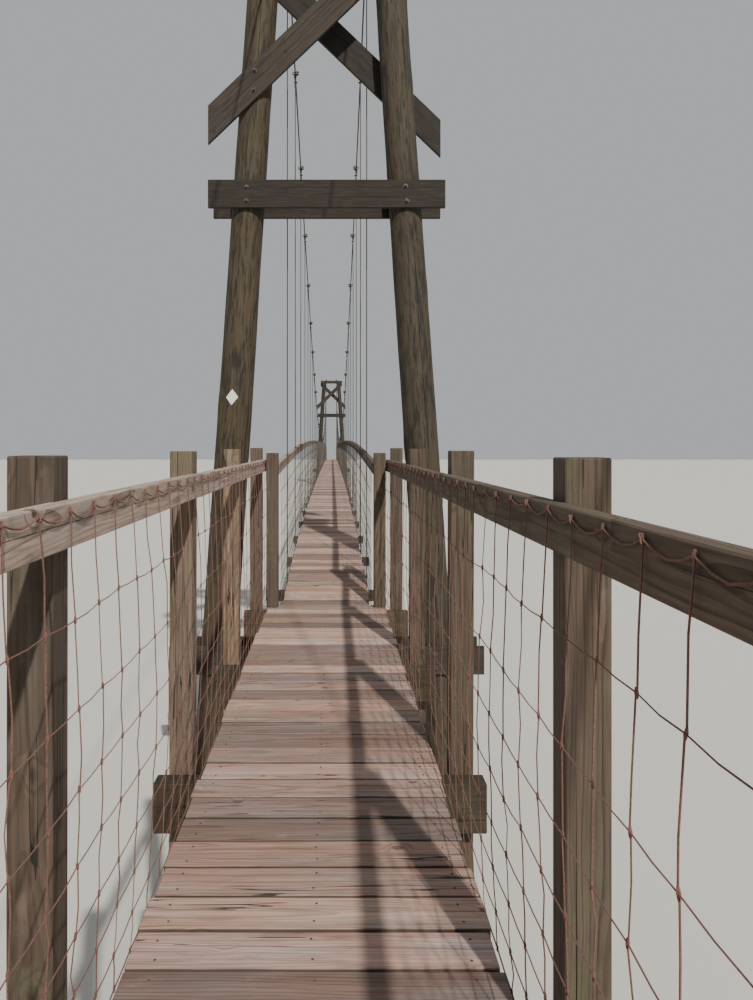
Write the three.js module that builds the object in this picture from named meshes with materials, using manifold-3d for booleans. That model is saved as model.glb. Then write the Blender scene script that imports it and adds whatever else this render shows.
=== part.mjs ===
// A timber and wire-rope suspension footbridge, modelled at one half of its real size.
// Every length below is the real bridge's, in millimetres. The group at the end scales it all by SCALE.
// +Y runs along the bridge, +X is the right of someone walking that way and +Z is up.
// The origin is on the ground at mid-span.

import * as THREE from "three";
import { mergeVertices } from "three/addons/utils/BufferGeometryUtils.js";
import Module from "manifold-3d";

const wasm = await Module();
wasm.setup();

const SCALE = 0.5;
const GAP = 0.6; // between neighbouring pieces, 0.3 mm once scaled

// Sawn timber
const BOARD = 38; // thickness of planks, rails, stringers, beams and braces
const POST = 89; // square posts and needle beams

// Levels
const DECK = 1600; // top of the approach deck above the ground
const SPAN_RISE = 350; // how far the middle of the hanging deck lies above the approach decks
const RISE_RUN = 4500; // length over which the hanging deck climbs most of that

// Hangers and span
const HANGER_PITCH = 1524;
const HANGER_BAYS = 32;
const FIRST_HANGER = 310; // tower axis to the first hanger
const HALF_SPAN = FIRST_HANGER + (HANGER_PITCH * HANGER_BAYS) / 2;
const APPROACH_END = 780; // tower axis to the end of the approach deck
const DECK_END = HALF_SPAN + APPROACH_END;

// Cables
const CABLE_X = 358;
const CABLE_RADIUS = 9.5;
const CABLE_SIDES = 8;
const HANGER_RADIUS = 4.5;
const HANGER_SIDES = 6;
const CABLE_TOP = DECK + 5910; // over the saddles
const CABLE_LOW = DECK + 1420; // at mid-span
const SADDLE_BEND = 200; // radius of the cable's bend over a saddle
const SADDLE_STEPS = 6;
const ANCHOR_RUN = 11280; // tower axis to the anchor's sloping face
const ANCHOR_X = 1200;
const ANCHOR_EYE = 300; // height at which the cable meets the anchor
const ANCHOR = { width: 600, length: 700, height: 450 };

// Hanging deck
const SPAN_DECK = 692; // width
const SPAN_STRINGER = { x: 250, depth: 140, notch: 10 };
const NEEDLE_BEAM = 900; // length
const SPAN_RAIL = { x: 360, depth: 89, height: 1000, endLift: 80, endRun: 2000 };
const RAIL_JOINTS = { outer: 19612, inner: 16564, middle: 762 }; // distance from mid-span
const RAIL_LENGTHS = {
  near: [-RAIL_JOINTS.outer, -RAIL_JOINTS.inner],
  near_middle: [-RAIL_JOINTS.inner, RAIL_JOINTS.middle],
  far_middle: [RAIL_JOINTS.middle, RAIL_JOINTS.inner],
  far: [RAIL_JOINTS.inner, RAIL_JOINTS.outer],
};
const SPAN_NET_X = SPAN_DECK / 2 + GAP;

// Approach
const BAYS = 6;
const BAY = 1500;
const APPROACH_LENGTH = BAYS * BAY + POST + GAP;
const APPROACH_DECK = 900; // width
const POST_X = 492; // inner face of the railing posts
const POST_TOP = 1200; // above the deck
const RAIL = { x: 460, depth: 89, top: 1110 };
const BEARER = { length: 1240, width: POST, depth: 184 };
const STRINGER = { x: 380, depth: 140 };
const NET_X = 453.4;
const END_POST = { x: 360, setback: 15.5, top: 1160 };

// Netting: coarse bars that stand for the fine woven wire
const NET_BAR = 6;
const NET_BELOW_RAIL = 30; // top bar below the rail's top edge
const NET_BELOW_DECK = 36;
const NET_MIDDLE = 0.42; // height of the middle bar, as a share of the panel

// Towers
const POLE_SPREAD = 1000; // half the distance between the poles' axes on the ground
const POLE_LEAN = 0.0665; // inward, per unit of height
const POLE_TOP = DECK + 5620;
const POLE_RADIUS = { foot: 161, top: 133 };
const POLE_SIDES = 16;
const CAP = { length: 1520, width: 235, depth: 190 };
const SADDLE_CHEEK = 10;
const SADDLE_PLAY = 1; // between the cable and its seat, besides the gap
const UPPER_BEAM = { length: 2000, bottom: DECK + 3220, depth: 235, y: 134 };
const LOWER_BEAM = { length: 2650, bottom: DECK - 710, depth: 235, y: 146 };
const BRACE = { depth: 235, y: 127, low: -1000, high: 760, middle: DECK + 4880, slope: 0.96 };

// Finishes
const finish = (color, roughness, metalness = 0) =>
  new THREE.MeshStandardMaterial({ color, roughness, metalness });
const FINISHES = {
  pole: () => finish(0x5a4a38, 0.9),
  beam: () => finish(0x4d3b2e, 0.85),
  plank: () => finish(0x8a7668, 0.85),
  rail: () => finish(0x85704f, 0.85),
  cable: () => finish(0x55504c, 0.5, 0.9),
  saddle: () => finish(0x4a4542, 0.55, 0.8),
  netting: () => finish(0x7d4a3c, 0.7, 0.5),
  anchor: () => finish(0x9b968c, 0.95),
};

// Joins and cuts

function solidOf(geometry) {
  const bare = geometry.clone();
  bare.deleteAttribute("normal");
  bare.deleteAttribute("uv");
  const merged = mergeVertices(bare, 1e-3);
  return new wasm.Manifold(
    new wasm.Mesh({
      numProp: 3,
      vertProperties: merged.attributes.position.array,
      triVerts: new Uint32Array(merged.index.array),
    }),
  );
}

function geometryOf(solid) {
  const mesh = solid.getMesh();
  return new THREE.BufferGeometry()
    .setAttribute("position", new THREE.BufferAttribute(mesh.vertProperties, 3))
    .setIndex(new THREE.BufferAttribute(mesh.triVerts, 1));
}

function join(geometries) {
  return geometryOf(wasm.Manifold.union(geometries.map(solidOf)));
}

function cut(geometry, tools) {
  return geometryOf(tools.reduce((left, tool) => left.subtract(solidOf(tool)), solidOf(geometry)));
}

// Shapes

function box([x0, x1], [y0, y1], [z0, z1]) {
  return new THREE.BoxGeometry(x1 - x0, y1 - y0, z1 - z0).translate(
    (x0 + x1) / 2,
    (y0 + y1) / 2,
    (z0 + z1) / 2,
  );
}

function shapeOf(outline) {
  return new THREE.Shape(outline.map(([a, b]) => new THREE.Vector2(a, b)));
}

// An outline drawn from the side, in Y and Z, and extruded across the bridge from x0 to x1.
function sideProfile(outline, [x0, x1]) {
  const turn = new THREE.Matrix4().makeBasis(
    new THREE.Vector3(0, 1, 0),
    new THREE.Vector3(0, 0, 1),
    new THREE.Vector3(1, 0, 0),
  );
  return new THREE.ExtrudeGeometry(shapeOf(outline), { depth: x1 - x0, bevelEnabled: false })
    .applyMatrix4(turn)
    .translate(x0, 0, 0);
}

// An outline drawn from the front, in X and Z, and extruded along the bridge from y0 to y1.
function frontProfile(outline, [y0, y1]) {
  const turn = new THREE.Matrix4().makeBasis(
    new THREE.Vector3(1, 0, 0),
    new THREE.Vector3(0, 0, 1),
    new THREE.Vector3(0, -1, 0),
  );
  return new THREE.ExtrudeGeometry(shapeOf(outline), { depth: y1 - y0, bevelEnabled: false })
    .applyMatrix4(turn)
    .translate(0, y1, 0);
}

// A range on one side of the bridge: side is -1 for the left and 1 for the right.
function across(side, near, far) {
  return side < 0 ? [-far, -near] : [near, far];
}

// A route whose points are used as they are, so that its steps can be short in a bend and long elsewhere.
class Route extends THREE.Curve {
  constructor(points) {
    super();
    this.points = points;
  }
  get steps() {
    return this.points.length - 1;
  }
  getSpacedPoints() {
    return this.points;
  }
  getTangentAt(u) {
    const i = Math.round(u * this.steps);
    const before = this.points[Math.max(i - 1, 0)];
    const after = this.points[Math.min(i + 1, this.steps)];
    return after.clone().sub(before).normalize();
  }
}

function rope(points, radius, sides) {
  const route = new Route(points);
  const section = new THREE.Shape(
    Array.from({ length: sides }, (_, i) => {
      const turn = ((i + 0.5) / sides) * 2 * Math.PI;
      return new THREE.Vector2(radius * Math.cos(turn), radius * Math.sin(turn));
    }),
  );
  return new THREE.ExtrudeGeometry(section, {
    steps: route.steps,
    extrudePath: route,
    bevelEnabled: false,
  });
}

// Levels along the hanging deck

function deckTop(y) {
  const climb = (distance) => 1 - Math.exp(-distance / RISE_RUN);
  return DECK + SPAN_RISE * climb(DECK_END + y) * climb(DECK_END - y);
}

function railTop(y) {
  const lift = (distance) => SPAN_RAIL.endLift * Math.exp(-distance / SPAN_RAIL.endRun);
  return deckTop(y) + SPAN_RAIL.height + lift(DECK_END + y) + lift(DECK_END - y);
}

function hangerPlaces() {
  return Array.from({ length: HANGER_BAYS + 1 }, (_, i) => (i - HANGER_BAYS / 2) * HANGER_PITCH);
}

function spanPlaces() {
  return [-DECK_END, ...hangerPlaces(), DECK_END];
}

// A strip along the hanging deck, between two levels given as functions of y.
function spanStrip(top, bottom, xs, places) {
  const lower = places.map((y) => [y, bottom(y)]);
  const upper = places.map((y) => [y, top(y)]).reverse();
  return sideProfile([...lower, ...upper], xs);
}

// Cable geometry: the angles at which the cable leaves the saddles

const SPAN_ANGLE = Math.atan((2 * (CABLE_TOP - CABLE_LOW)) / HALF_SPAN);
const STAY_ANGLE = Math.atan((CABLE_TOP - ANCHOR_EYE) / ANCHOR_RUN);

function onSaddle(angle) {
  return [SADDLE_BEND * Math.sin(angle), CABLE_TOP - SADDLE_BEND * (1 - Math.cos(angle))];
}

function saddleArc(from, to) {
  return Array.from({ length: SADDLE_STEPS + 1 }, (_, i) => from + ((to - from) * i) / SADDLE_STEPS);
}

const [LEAVE_Y, LEAVE_HEIGHT] = onSaddle(SPAN_ANGLE);
const CABLE_CURVE = (LEAVE_HEIGHT - CABLE_LOW) / (HALF_SPAN - LEAVE_Y) ** 2;

function cableHeight(y) {
  return CABLE_LOW + CABLE_CURVE * y * y;
}

// The top of a hanger, clear of the sloping underside of the cable.
function hangerTop(y) {
  const slope = 2 * CABLE_CURVE * Math.abs(y);
  return cableHeight(y) - CABLE_RADIUS * Math.hypot(1, slope) - HANGER_RADIUS * slope - GAP;
}

// Where the cable ends at its anchor, in the frame of one end of the bridge.
function anchorEnd(side) {
  const top = new THREE.Vector3(side * CABLE_X, ...onSaddle(-STAY_ANGLE));
  const foot = new THREE.Vector3(side * ANCHOR_X, -ANCHOR_RUN, ANCHOR_EYE);
  const along = foot.clone().sub(top).normalize();
  return foot.addScaledVector(along, -2 * GAP);
}

// Pieces of the span, in the bridge's own frame

function spanDeck() {
  const half = SPAN_DECK / 2;
  return spanStrip(deckTop, (y) => deckTop(y) - BOARD, [-half, half], spanPlaces());
}

function needleTop(y) {
  return deckTop(y) - BOARD - GAP - SPAN_STRINGER.depth + SPAN_STRINGER.notch;
}

function spanDeckFrame() {
  const top = (y) => deckTop(y) - BOARD - GAP;
  const stringers = [-1, 1].map((side) =>
    spanStrip(
      top,
      (y) => top(y) - SPAN_STRINGER.depth,
      across(side, SPAN_STRINGER.x - BOARD / 2, SPAN_STRINGER.x + BOARD / 2),
      spanPlaces(),
    ),
  );
  const needles = hangerPlaces().map((y) =>
    box(
      [-NEEDLE_BEAM / 2, NEEDLE_BEAM / 2],
      [y - POST / 2, y + POST / 2],
      [needleTop(y) - POST, needleTop(y)],
    ),
  );
  return join([...stringers, ...needles]);
}

function railStrip(side, places) {
  const xs = across(side, SPAN_RAIL.x, SPAN_RAIL.x + BOARD);
  return spanStrip(railTop, (y) => railTop(y) - SPAN_RAIL.depth, xs, places);
}

function hanger(side, y) {
  const foot = needleTop(y) + GAP;
  const height = hangerTop(y) - foot;
  return new THREE.CylinderGeometry(HANGER_RADIUS, HANGER_RADIUS, height, HANGER_SIDES)
    .rotateX(Math.PI / 2)
    .translate(side * CABLE_X, y, foot + height / 2);
}

// One length of the hanging rail with the hangers that it is fixed to.
function hangersAndRail(side, [from, to]) {
  const places = hangerPlaces().filter((y) => y > from && y < to);
  const rail = railStrip(side, [from + GAP / 2, ...places, to - GAP / 2]);
  return join([rail, ...places.map((y) => hanger(side, y))]);
}

// A flat panel with holes between the places along it, which leave a bar at each place, one at each edge
// and one part way up.
function netPanel(panel, places, top, bottom, [x0, x1]) {
  const middle = (y) => bottom(y) + (top(y) - bottom(y)) * NET_MIDDLE;
  const rows = [
    [(y) => bottom(y) + NET_BAR, (y) => middle(y) - NET_BAR / 2],
    [(y) => middle(y) + NET_BAR / 2, (y) => top(y) - NET_BAR],
  ];
  const last = places.length - 1;
  const bays = places.slice(0, -1).map((place, i) => [
    place + (i === 0 ? NET_BAR : NET_BAR / 2),
    places[i + 1] - (i + 1 === last ? NET_BAR : NET_BAR / 2),
  ]);
  const holes = bays.flatMap(([from, to]) =>
    rows.map(([low, high]) =>
      sideProfile(
        [
          [from, low(from)],
          [to, low(to)],
          [to, high(to)],
          [from, high(from)],
        ],
        [x0 - NET_BAR, x1 + NET_BAR],
      ),
    ),
  );
  return cut(panel, holes);
}

function spanNet(side) {
  const top = (y) => railTop(y) - NET_BELOW_RAIL;
  const bottom = (y) => deckTop(y) - NET_BELOW_DECK;
  const xs = across(side, SPAN_NET_X, SPAN_NET_X + NET_BAR);
  return netPanel(spanStrip(top, bottom, xs, spanPlaces()), spanPlaces(), top, bottom, xs);
}

// Pieces of one end, in a frame whose origin is on the ground below the tower, with +Y towards mid-span

// A beam or brace on the front or back of the poles: face is -1 for the land side and 1 for the river side.
function beam({ length, bottom, depth, y }, face, extra = 0) {
  return box(
    [-length / 2 - extra, length / 2 + extra],
    across(face, y + GAP - extra, y + GAP + BOARD + extra),
    [bottom - extra, bottom + depth + extra],
  );
}

function brace(face, extra = 0) {
  const half = (BRACE.depth / 2 + extra) * Math.hypot(1, BRACE.slope);
  const [low, high] = [BRACE.low - extra, BRACE.high + extra];
  const level = (x) => BRACE.middle + BRACE.slope * x;
  const outline = [
    [low, level(low) - half],
    [high, level(high) - half],
    [high, level(high) + half],
    [low, level(low) + half],
  ];
  const front = frontProfile(outline, [
    -(BRACE.y + GAP + BOARD + extra),
    -(BRACE.y + GAP - extra),
  ]);
  return face < 0 ? front : front.rotateZ(Math.PI);
}

// A leaning round pole with a level foot and top, dapped where the beams and braces bear on it.
function pole(side) {
  const shaft = new THREE.CylinderGeometry(POLE_RADIUS.top, POLE_RADIUS.foot, POLE_TOP, POLE_SIDES)
    .rotateX(Math.PI / 2)
    .rotateZ(Math.PI / POLE_SIDES)
    .translate(0, 0, POLE_TOP / 2);
  const lean = new THREE.Matrix4().set(
    ...[1, 0, -side * POLE_LEAN, side * POLE_SPREAD],
    ...[0, 1, 0, 0],
    ...[0, 0, 1, 0],
    ...[0, 0, 0, 1],
  );
  const daps = [-1, 1].flatMap((face) => [
    beam(UPPER_BEAM, face, GAP),
    beam(LOWER_BEAM, face, GAP),
    brace(face, GAP),
  ]);
  return cut(shaft.applyMatrix4(lean), daps);
}

function capBeam() {
  return box(
    [-CAP.length / 2, CAP.length / 2],
    [-CAP.width / 2, CAP.width / 2],
    [POLE_TOP + GAP, POLE_TOP + GAP + CAP.depth],
  );
}

// A steel saddle: an arched seat for the cable between two cheeks.
function saddle(side) {
  const base = POLE_TOP + CAP.depth + 2 * GAP;
  const arch = (radius) => {
    const angles = saddleArc(SPAN_ANGLE, -STAY_ANGLE);
    const ends = [onSaddle(-STAY_ANGLE)[0], onSaddle(SPAN_ANGLE)[0]];
    const crown = angles.map((angle) => [
      onSaddle(angle)[0],
      onSaddle(angle)[1] - SADDLE_BEND + radius,
    ]);
    return [[ends[0], base], [ends[1], base], ...crown];
  };
  const inner = CABLE_RADIUS + GAP;
  const seat = sideProfile(arch(SADDLE_BEND - CABLE_RADIUS - GAP - SADDLE_PLAY), [-inner, inner]);
  const cheeks = [-1, 1].map((hand) =>
    sideProfile(arch(SADDLE_BEND), across(hand, inner, inner + SADDLE_CHEEK)),
  );
  return join([seat, ...cheeks]).translate(side * CABLE_X, 0, 0);
}

// A concrete block whose sloping face looks up along the cable.
function anchor(side) {
  const lip = 2 * ANCHOR_EYE - ANCHOR.height;
  const back = Math.tan(STAY_ANGLE) * (ANCHOR.height - ANCHOR_EYE);
  const front = -ANCHOR_RUN + back;
  const outline = [
    [front - ANCHOR.length, 0],
    [front, 0],
    [front, lip],
    [front - 2 * back, ANCHOR.height],
    [front - ANCHOR.length, ANCHOR.height],
  ];
  const centre = side * ANCHOR_X;
  return sideProfile(outline, [centre - ANCHOR.width / 2, centre + ANCHOR.width / 2]);
}

const APPROACH = [-APPROACH_END - APPROACH_LENGTH, -APPROACH_END - GAP];

function bayStarts() {
  return Array.from({ length: BAYS + 1 }, (_, i) => -APPROACH_END - i * BAY);
}

function approachDeck() {
  const half = APPROACH_DECK / 2;
  return box([-half, half], APPROACH, [DECK - BOARD, DECK]);
}

function approachFrame() {
  const top = DECK - BOARD - GAP;
  const bearers = bayStarts().map((y) =>
    box(
      [-BEARER.length / 2, BEARER.length / 2],
      [y - GAP - BEARER.width, y - GAP],
      [top - BEARER.depth, top],
    ),
  );
  const stringers = [-STRINGER.x, 0, STRINGER.x].map((x) =>
    box([x - BOARD / 2, x + BOARD / 2], APPROACH, [top - STRINGER.depth, top]),
  );
  return join([...bearers, ...stringers]);
}

function railing(side) {
  const posts = bayStarts().map((y) =>
    box(across(side, POST_X, POST_X + POST), [y, y + POST], [0, DECK + POST_TOP]),
  );
  const rail = box(
    across(side, RAIL.x, RAIL.x + BOARD),
    [APPROACH[0], -APPROACH_END + POST],
    [DECK + RAIL.top - RAIL.depth, DECK + RAIL.top],
  );
  return join([...posts, rail]);
}

function approachNet(side) {
  const top = DECK + RAIL.top - NET_BELOW_RAIL;
  const bottom = DECK - NET_BELOW_DECK;
  const xs = across(side, NET_X, NET_X + NET_BAR);
  const ends = [APPROACH[0], -APPROACH_END + POST];
  const places = [ends[0], ...bayStarts().reverse().slice(1, -1), ends[1]];
  return netPanel(box(xs, ends, [bottom, top]), places, () => top, () => bottom, xs);
}

// The post at the end of the approach deck, with the first length of the hanging rail and its hangers.
function endPostAndRail(side) {
  const face = -APPROACH_END - END_POST.setback;
  const post = box(across(side, END_POST.x, END_POST.x + POST), [face - POST, face], [
    DECK + GAP,
    DECK + END_POST.top,
  ]);
  const rail = hangersAndRail(side, [face - POST / 2 - HALF_SPAN, -RAIL_JOINTS.outer]);
  return join([post, rail.translate(0, HALF_SPAN, 0)]);
}

// Half of a cable: from its anchor over the saddle to mid-span, where it meets the other half.
function mainCable(side) {
  const above = (y, z) => new THREE.Vector3(side * CABLE_X, y, z);
  const bend = saddleArc(-STAY_ANGLE, SPAN_ANGLE).map((angle) => above(...onSaddle(angle)));
  const places = [...hangerPlaces().filter((y) => y < 0), -GAP / 2];
  const hanging = places.map((y) => above(y + HALF_SPAN, cableHeight(y)));
  return rope([anchorEnd(side), ...bend, ...hanging], CABLE_RADIUS, CABLE_SIDES);
}

// Assembly

function piece(name, geometry, finishName) {
  geometry.computeVertexNormals();
  const mesh = new THREE.Mesh(geometry, FINISHES[finishName]());
  mesh.name = name;
  return mesh;
}

function sideName(side) {
  return side < 0 ? "left" : "right";
}

// The far end is the near end turned half round, so its own left is the bridge's right.
function bridgeEnd(endName, turned) {
  const end = new THREE.Group();
  const faces = { front: -1, back: 1 };
  for (const [faceName, face] of Object.entries(faces)) {
    end.add(
      piece(`${endName}_upper_crossbeam_${faceName}`, beam(UPPER_BEAM, face), "beam"),
      piece(`${endName}_lower_crossbeam_${faceName}`, beam(LOWER_BEAM, face), "beam"),
      piece(`${endName}_brace_${faceName}`, brace(face), "beam"),
    );
  }
  end.add(
    piece(`${endName}_cap_beam`, capBeam(), "beam"),
    piece(`${endName}_approach_deck`, approachDeck(), "plank"),
    piece(`${endName}_approach_frame`, approachFrame(), "beam"),
  );
  for (const side of [-1, 1]) {
    const name = `${endName}_${sideName(turned ? -side : side)}`;
    end.add(
      piece(`${name}_pole`, pole(side), "pole"),
      piece(`${name}_saddle`, saddle(side), "saddle"),
      piece(`${name}_anchor`, anchor(side), "anchor"),
      piece(`${name}_railing`, railing(side), "rail"),
      piece(`${name}_netting`, approachNet(side), "netting"),
      piece(`${name}_end_post_and_rail`, endPostAndRail(side), "rail"),
      piece(`${name}_main_cable`, mainCable(side), "cable"),
    );
  }
  end.position.y = turned ? HALF_SPAN : -HALF_SPAN;
  end.rotation.z = turned ? Math.PI : 0;
  return end;
}

function span() {
  const middle = new THREE.Group();
  middle.add(
    piece("span_deck", spanDeck(), "plank"),
    piece("span_deck_frame", spanDeckFrame(), "beam"),
  );
  for (const side of [-1, 1]) {
    const name = sideName(side);
    middle.add(piece(`${name}_span_netting`, spanNet(side), "netting"));
    for (const [part, reach] of Object.entries(RAIL_LENGTHS)) {
      middle.add(piece(`${name}_hangers_and_rail_${part}`, hangersAndRail(side, reach), "rail"));
    }
  }
  return middle;
}

const bridge = new THREE.Group();
bridge.add(bridgeEnd("near", false), span(), bridgeEnd("far", true));
bridge.scale.setScalar(SCALE);

export default bridge;
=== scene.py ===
# %% [markdown]
# # A timber footbridge hung from wire ropes
# The frame holds the solids of a suspension footbridge at one half of its real size. This lesson puts real
# boards, posts, poles, ropes, bolts and netting in their place, and gives each its finish.
# Every length below is the real bridge's, in millimetres, because sawn timber comes in sizes that are easy
# to check that way. Each mesh is scaled to model metres once, when it is finished.

# %% Load the frame
import math
import random

import bmesh
import bpy
from mathutils import Matrix, Vector, noise


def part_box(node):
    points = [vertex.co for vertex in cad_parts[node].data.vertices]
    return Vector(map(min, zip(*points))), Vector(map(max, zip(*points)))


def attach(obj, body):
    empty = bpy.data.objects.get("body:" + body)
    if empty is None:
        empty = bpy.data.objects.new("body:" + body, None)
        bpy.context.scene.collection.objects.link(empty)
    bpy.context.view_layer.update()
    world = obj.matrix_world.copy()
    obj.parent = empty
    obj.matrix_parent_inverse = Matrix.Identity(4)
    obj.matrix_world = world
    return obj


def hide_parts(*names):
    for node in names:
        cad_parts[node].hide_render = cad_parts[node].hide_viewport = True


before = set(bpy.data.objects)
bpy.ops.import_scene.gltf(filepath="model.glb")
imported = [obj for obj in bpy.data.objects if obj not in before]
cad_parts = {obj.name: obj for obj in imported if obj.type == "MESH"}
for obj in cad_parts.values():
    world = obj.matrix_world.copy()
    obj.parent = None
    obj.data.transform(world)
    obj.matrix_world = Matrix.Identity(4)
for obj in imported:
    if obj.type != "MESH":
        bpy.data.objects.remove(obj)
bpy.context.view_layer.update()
REAL_MM = 0.0005  # one real millimetre in model metres
print("nodes in the frame:", len(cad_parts))


def real_box(node):
    """The low and high corner of a solid, in real millimetres."""
    low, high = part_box(node)
    return low / REAL_MM, high / REAL_MM


# %% [markdown]
# ## The camera
# The photo was taken from the near approach, a little right of the middle and 1.22 m above the boards. The
# lens and the shift come from the photo's vanishing point, at (332, 445) in its 753 x 1000 frame, and from
# how fast the deck narrows with distance.

# %% Camera at the photo's viewpoint
FRAME_WIDTH, FRAME_HEIGHT = 753, 1000
VANISHING_POINT = (332, 445)
FOCAL_PIXELS = 785
EYE_HEIGHT, EYE_RIGHT, EYE_BEFORE_TOWER = 1220, 45, 6780
SENSOR = 36.0
NEAREST, FURTHEST = 0.01, 500  # what the camera sees, in metres of the scene

DECK = real_box("near_approach_deck")[1].z
pole_low, pole_high = real_box("near_left_pole")
TOWER_Y = (pole_low.y + pole_high.y) / 2

camera_data = bpy.data.cameras.new("photo_camera")
camera_data.sensor_width = SENSOR
camera_data.lens = FOCAL_PIXELS / FRAME_HEIGHT * SENSOR
camera_data.shift_x = (FRAME_WIDTH / 2 - VANISHING_POINT[0]) / FRAME_HEIGHT
camera_data.shift_y = (VANISHING_POINT[1] - FRAME_HEIGHT / 2) / FRAME_HEIGHT
camera_data.clip_start = NEAREST
camera_data.clip_end = FURTHEST
camera = bpy.data.objects.new("photo_camera", camera_data)
bpy.context.scene.collection.objects.link(camera)
camera.location = Vector((EYE_RIGHT, TOWER_Y - EYE_BEFORE_TOWER, DECK + EYE_HEIGHT)) * REAL_MM
camera.rotation_euler = (math.pi / 2, 0, 0)
bpy.context.scene.camera = camera
print("camera at", [round(value, 3) for value in camera.location], "lens", round(camera_data.lens, 2))

# %% [markdown]
# ## Levels along the bridge
# The hanging deck climbs from each approach and is nearly flat in the middle. Its solids run straight from
# hanger to hanger, so the levels here do the same, and boards laid on them sit on the frame's own line.

# %% Levels of the deck and the rail
HANGER_PITCH = 1524
HANGER_BAYS = 32
SPAN_RISE, RISE_RUN = 350, 4500
RAIL_HEIGHT, RAIL_LIFT, LIFT_RUN = 1000, 80, 2000
BOARD, POST = 38, 89
GAP = 0.6

HALF_SPAN = -TOWER_Y
DECK_END = real_box("span_deck")[1].y
HANGERS = [(i - HANGER_BAYS / 2) * HANGER_PITCH for i in range(HANGER_BAYS + 1)]


def straight_between_hangers(level):
    """The same level, but straight from one hanger to the next."""
    places = [-DECK_END, *HANGERS, DECK_END]

    def at(y):
        for a, b in zip(places, places[1:]):
            if y <= b or b == places[-1]:
                share = (y - a) / (b - a)
                return level(a) + (level(b) - level(a)) * share

    return at


def climb(distance):
    return 1 - math.exp(-distance / RISE_RUN)


def curved_deck(y):
    return DECK + SPAN_RISE * climb(DECK_END + y) * climb(DECK_END - y)


def curved_rail(y):
    lift = math.exp(-(DECK_END + y) / LIFT_RUN) + math.exp(-(DECK_END - y) / LIFT_RUN)
    return curved_deck(y) + RAIL_HEIGHT + RAIL_LIFT * lift


deck_level = straight_between_hangers(curved_deck)
rail_level = straight_between_hangers(curved_rail)
print("deck", round(deck_level(-DECK_END)), "to", round(deck_level(0)), "mm")
print("rail", round(rail_level(0)), "mm at mid-span")

# %% [markdown]
# ## Both ends from one set of pieces
# The far end is the near end turned half round. Each piece of an end is made in its tower's own frame, with
# the land behind it, and a turn and a shift put it on the bridge.

# %% Frames of the two ends
ENDS = {
    "near": Matrix.Translation((0, -HALF_SPAN, 0)),
    "far": Matrix.Translation((0, HALF_SPAN, 0)) @ Matrix.Rotation(math.pi, 4, "Z"),
}
SIDES = (-1, 1)
CORNERS = [(end, side) for end in ENDS for side in SIDES]


def side_name(side, end="near"):
    """An end's own left is the bridge's right once it is turned."""
    turned = -side if end == "far" else side
    return "left" if turned < 0 else "right"


def corner_name(end, side):
    return f"{end}_{side_name(side, end)}"


def move_to_end(shape, end):
    """Moves a whole shape from its tower's own frame to its end of the bridge."""
    bmesh.ops.transform(shape, matrix=ENDS[end], verts=shape.verts)


# %% [markdown]
# ## Material helpers
# One function adds a node with its settings and its links, and gives the output that the next node reads, so
# that a material reads as a list of steps. Most nodes are given their inputs in their own order. For Map
# Range that is what it reads, the low and high value that it reads between, and what these two become.
# Colours are written as the screen shows them and turned to the linear values that the shader adds up.

# %% Nodes and colours
RGBA = {"data_type": "RGBA"}
SMOOTH = {"interpolation_type": "SMOOTHSTEP"}
FACTOR, UNDER, OVER, MIXED = 0, 6, 7, 2  # where a Mix node of colours has its inputs and its output


def linear(colour):
    """An sRGB hex value as linear red, green, blue and alpha."""
    parts = [int(colour[i : i + 2], 16) / 255 for i in (1, 3, 5)]
    return (*[c / 12.92 if c <= 0.04045 else ((c + 0.055) / 1.055) ** 2.4 for c in parts], 1.0)


def new_material(name):
    material = bpy.data.materials.new(name)
    material.use_nodes = True
    material.node_tree.nodes.clear()
    return material, material.node_tree


def add(tree, kind, inputs, output=0, **settings):
    """Adds a node, makes its settings, fills or links its inputs and gives one of its outputs.

    Inputs in a tuple are given in the order of the node's sockets, and those in a dictionary by socket.
    """
    made = tree.nodes.new("ShaderNode" + kind)
    for name, value in settings.items():
        setattr(made, name, value)
    for socket, value in inputs.items() if isinstance(inputs, dict) else enumerate(inputs):
        if isinstance(value, bpy.types.NodeSocket):
            tree.links.new(value, made.inputs[socket])
        else:
            made.inputs[socket].default_value = value
    return made.outputs[output] if made.outputs else made


# %% [markdown]
# ## Weathered softwood
# A sawn board shows the log that it came from: growth rings cut lengthwise give lines, arches and, on its
# ends, arcs. So the pattern is a solid one. Each board carries its own place in its log, as an attribute in
# real millimetres, with the fibres along the first axis and the pith at the other two axes' zero. Rings are
# distances from the pith, bent by knots and by a slow noise.
# Everything else on the wood is a noise stretched along the fibres, and what differs is how far. Fibres are
# drawn a little coarser than real ones, or they'd be lost at this distance.

# %% Noises stretched along the fibres
WOOD_NOISES = {  # size along and across the fibres in millimetres, detail and roughness
    "bend": (600, 75, 2.0, 0.5),
    "fibre": (150, 7, 5.0, 0.68),
    "streak": (900, 22, 3.0, 0.6),
    "patch": (420, 110, 3.0, 0.55),
    "blotch": (260, 60, 4.0, 0.6),
    "split": (1300, 34, 2.0, 0.5),
    "split_zone": (500, 60, 1.0, 0.5),
    "fleck": (230, 24, 3.0, 0.6),
    "scuff": (180, 70, 4.0, 0.65),
}


def wood_noises(tree, grain, seed):
    """An output for each noise of the table."""
    noises = {}
    for part, (along, across, detail, roughness) in WOOD_NOISES.items():
        spot = add(tree, "VectorMath", (grain, (1 / along, 1 / across, 1 / across)), operation="MULTIPLY")
        inputs = {"Vector": spot, "W": seed, "Scale": 1.0, "Detail": detail, "Roughness": roughness}
        noises[part] = add(tree, "TexNoise", inputs, noise_dimensions="4D")
    return noises


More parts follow.
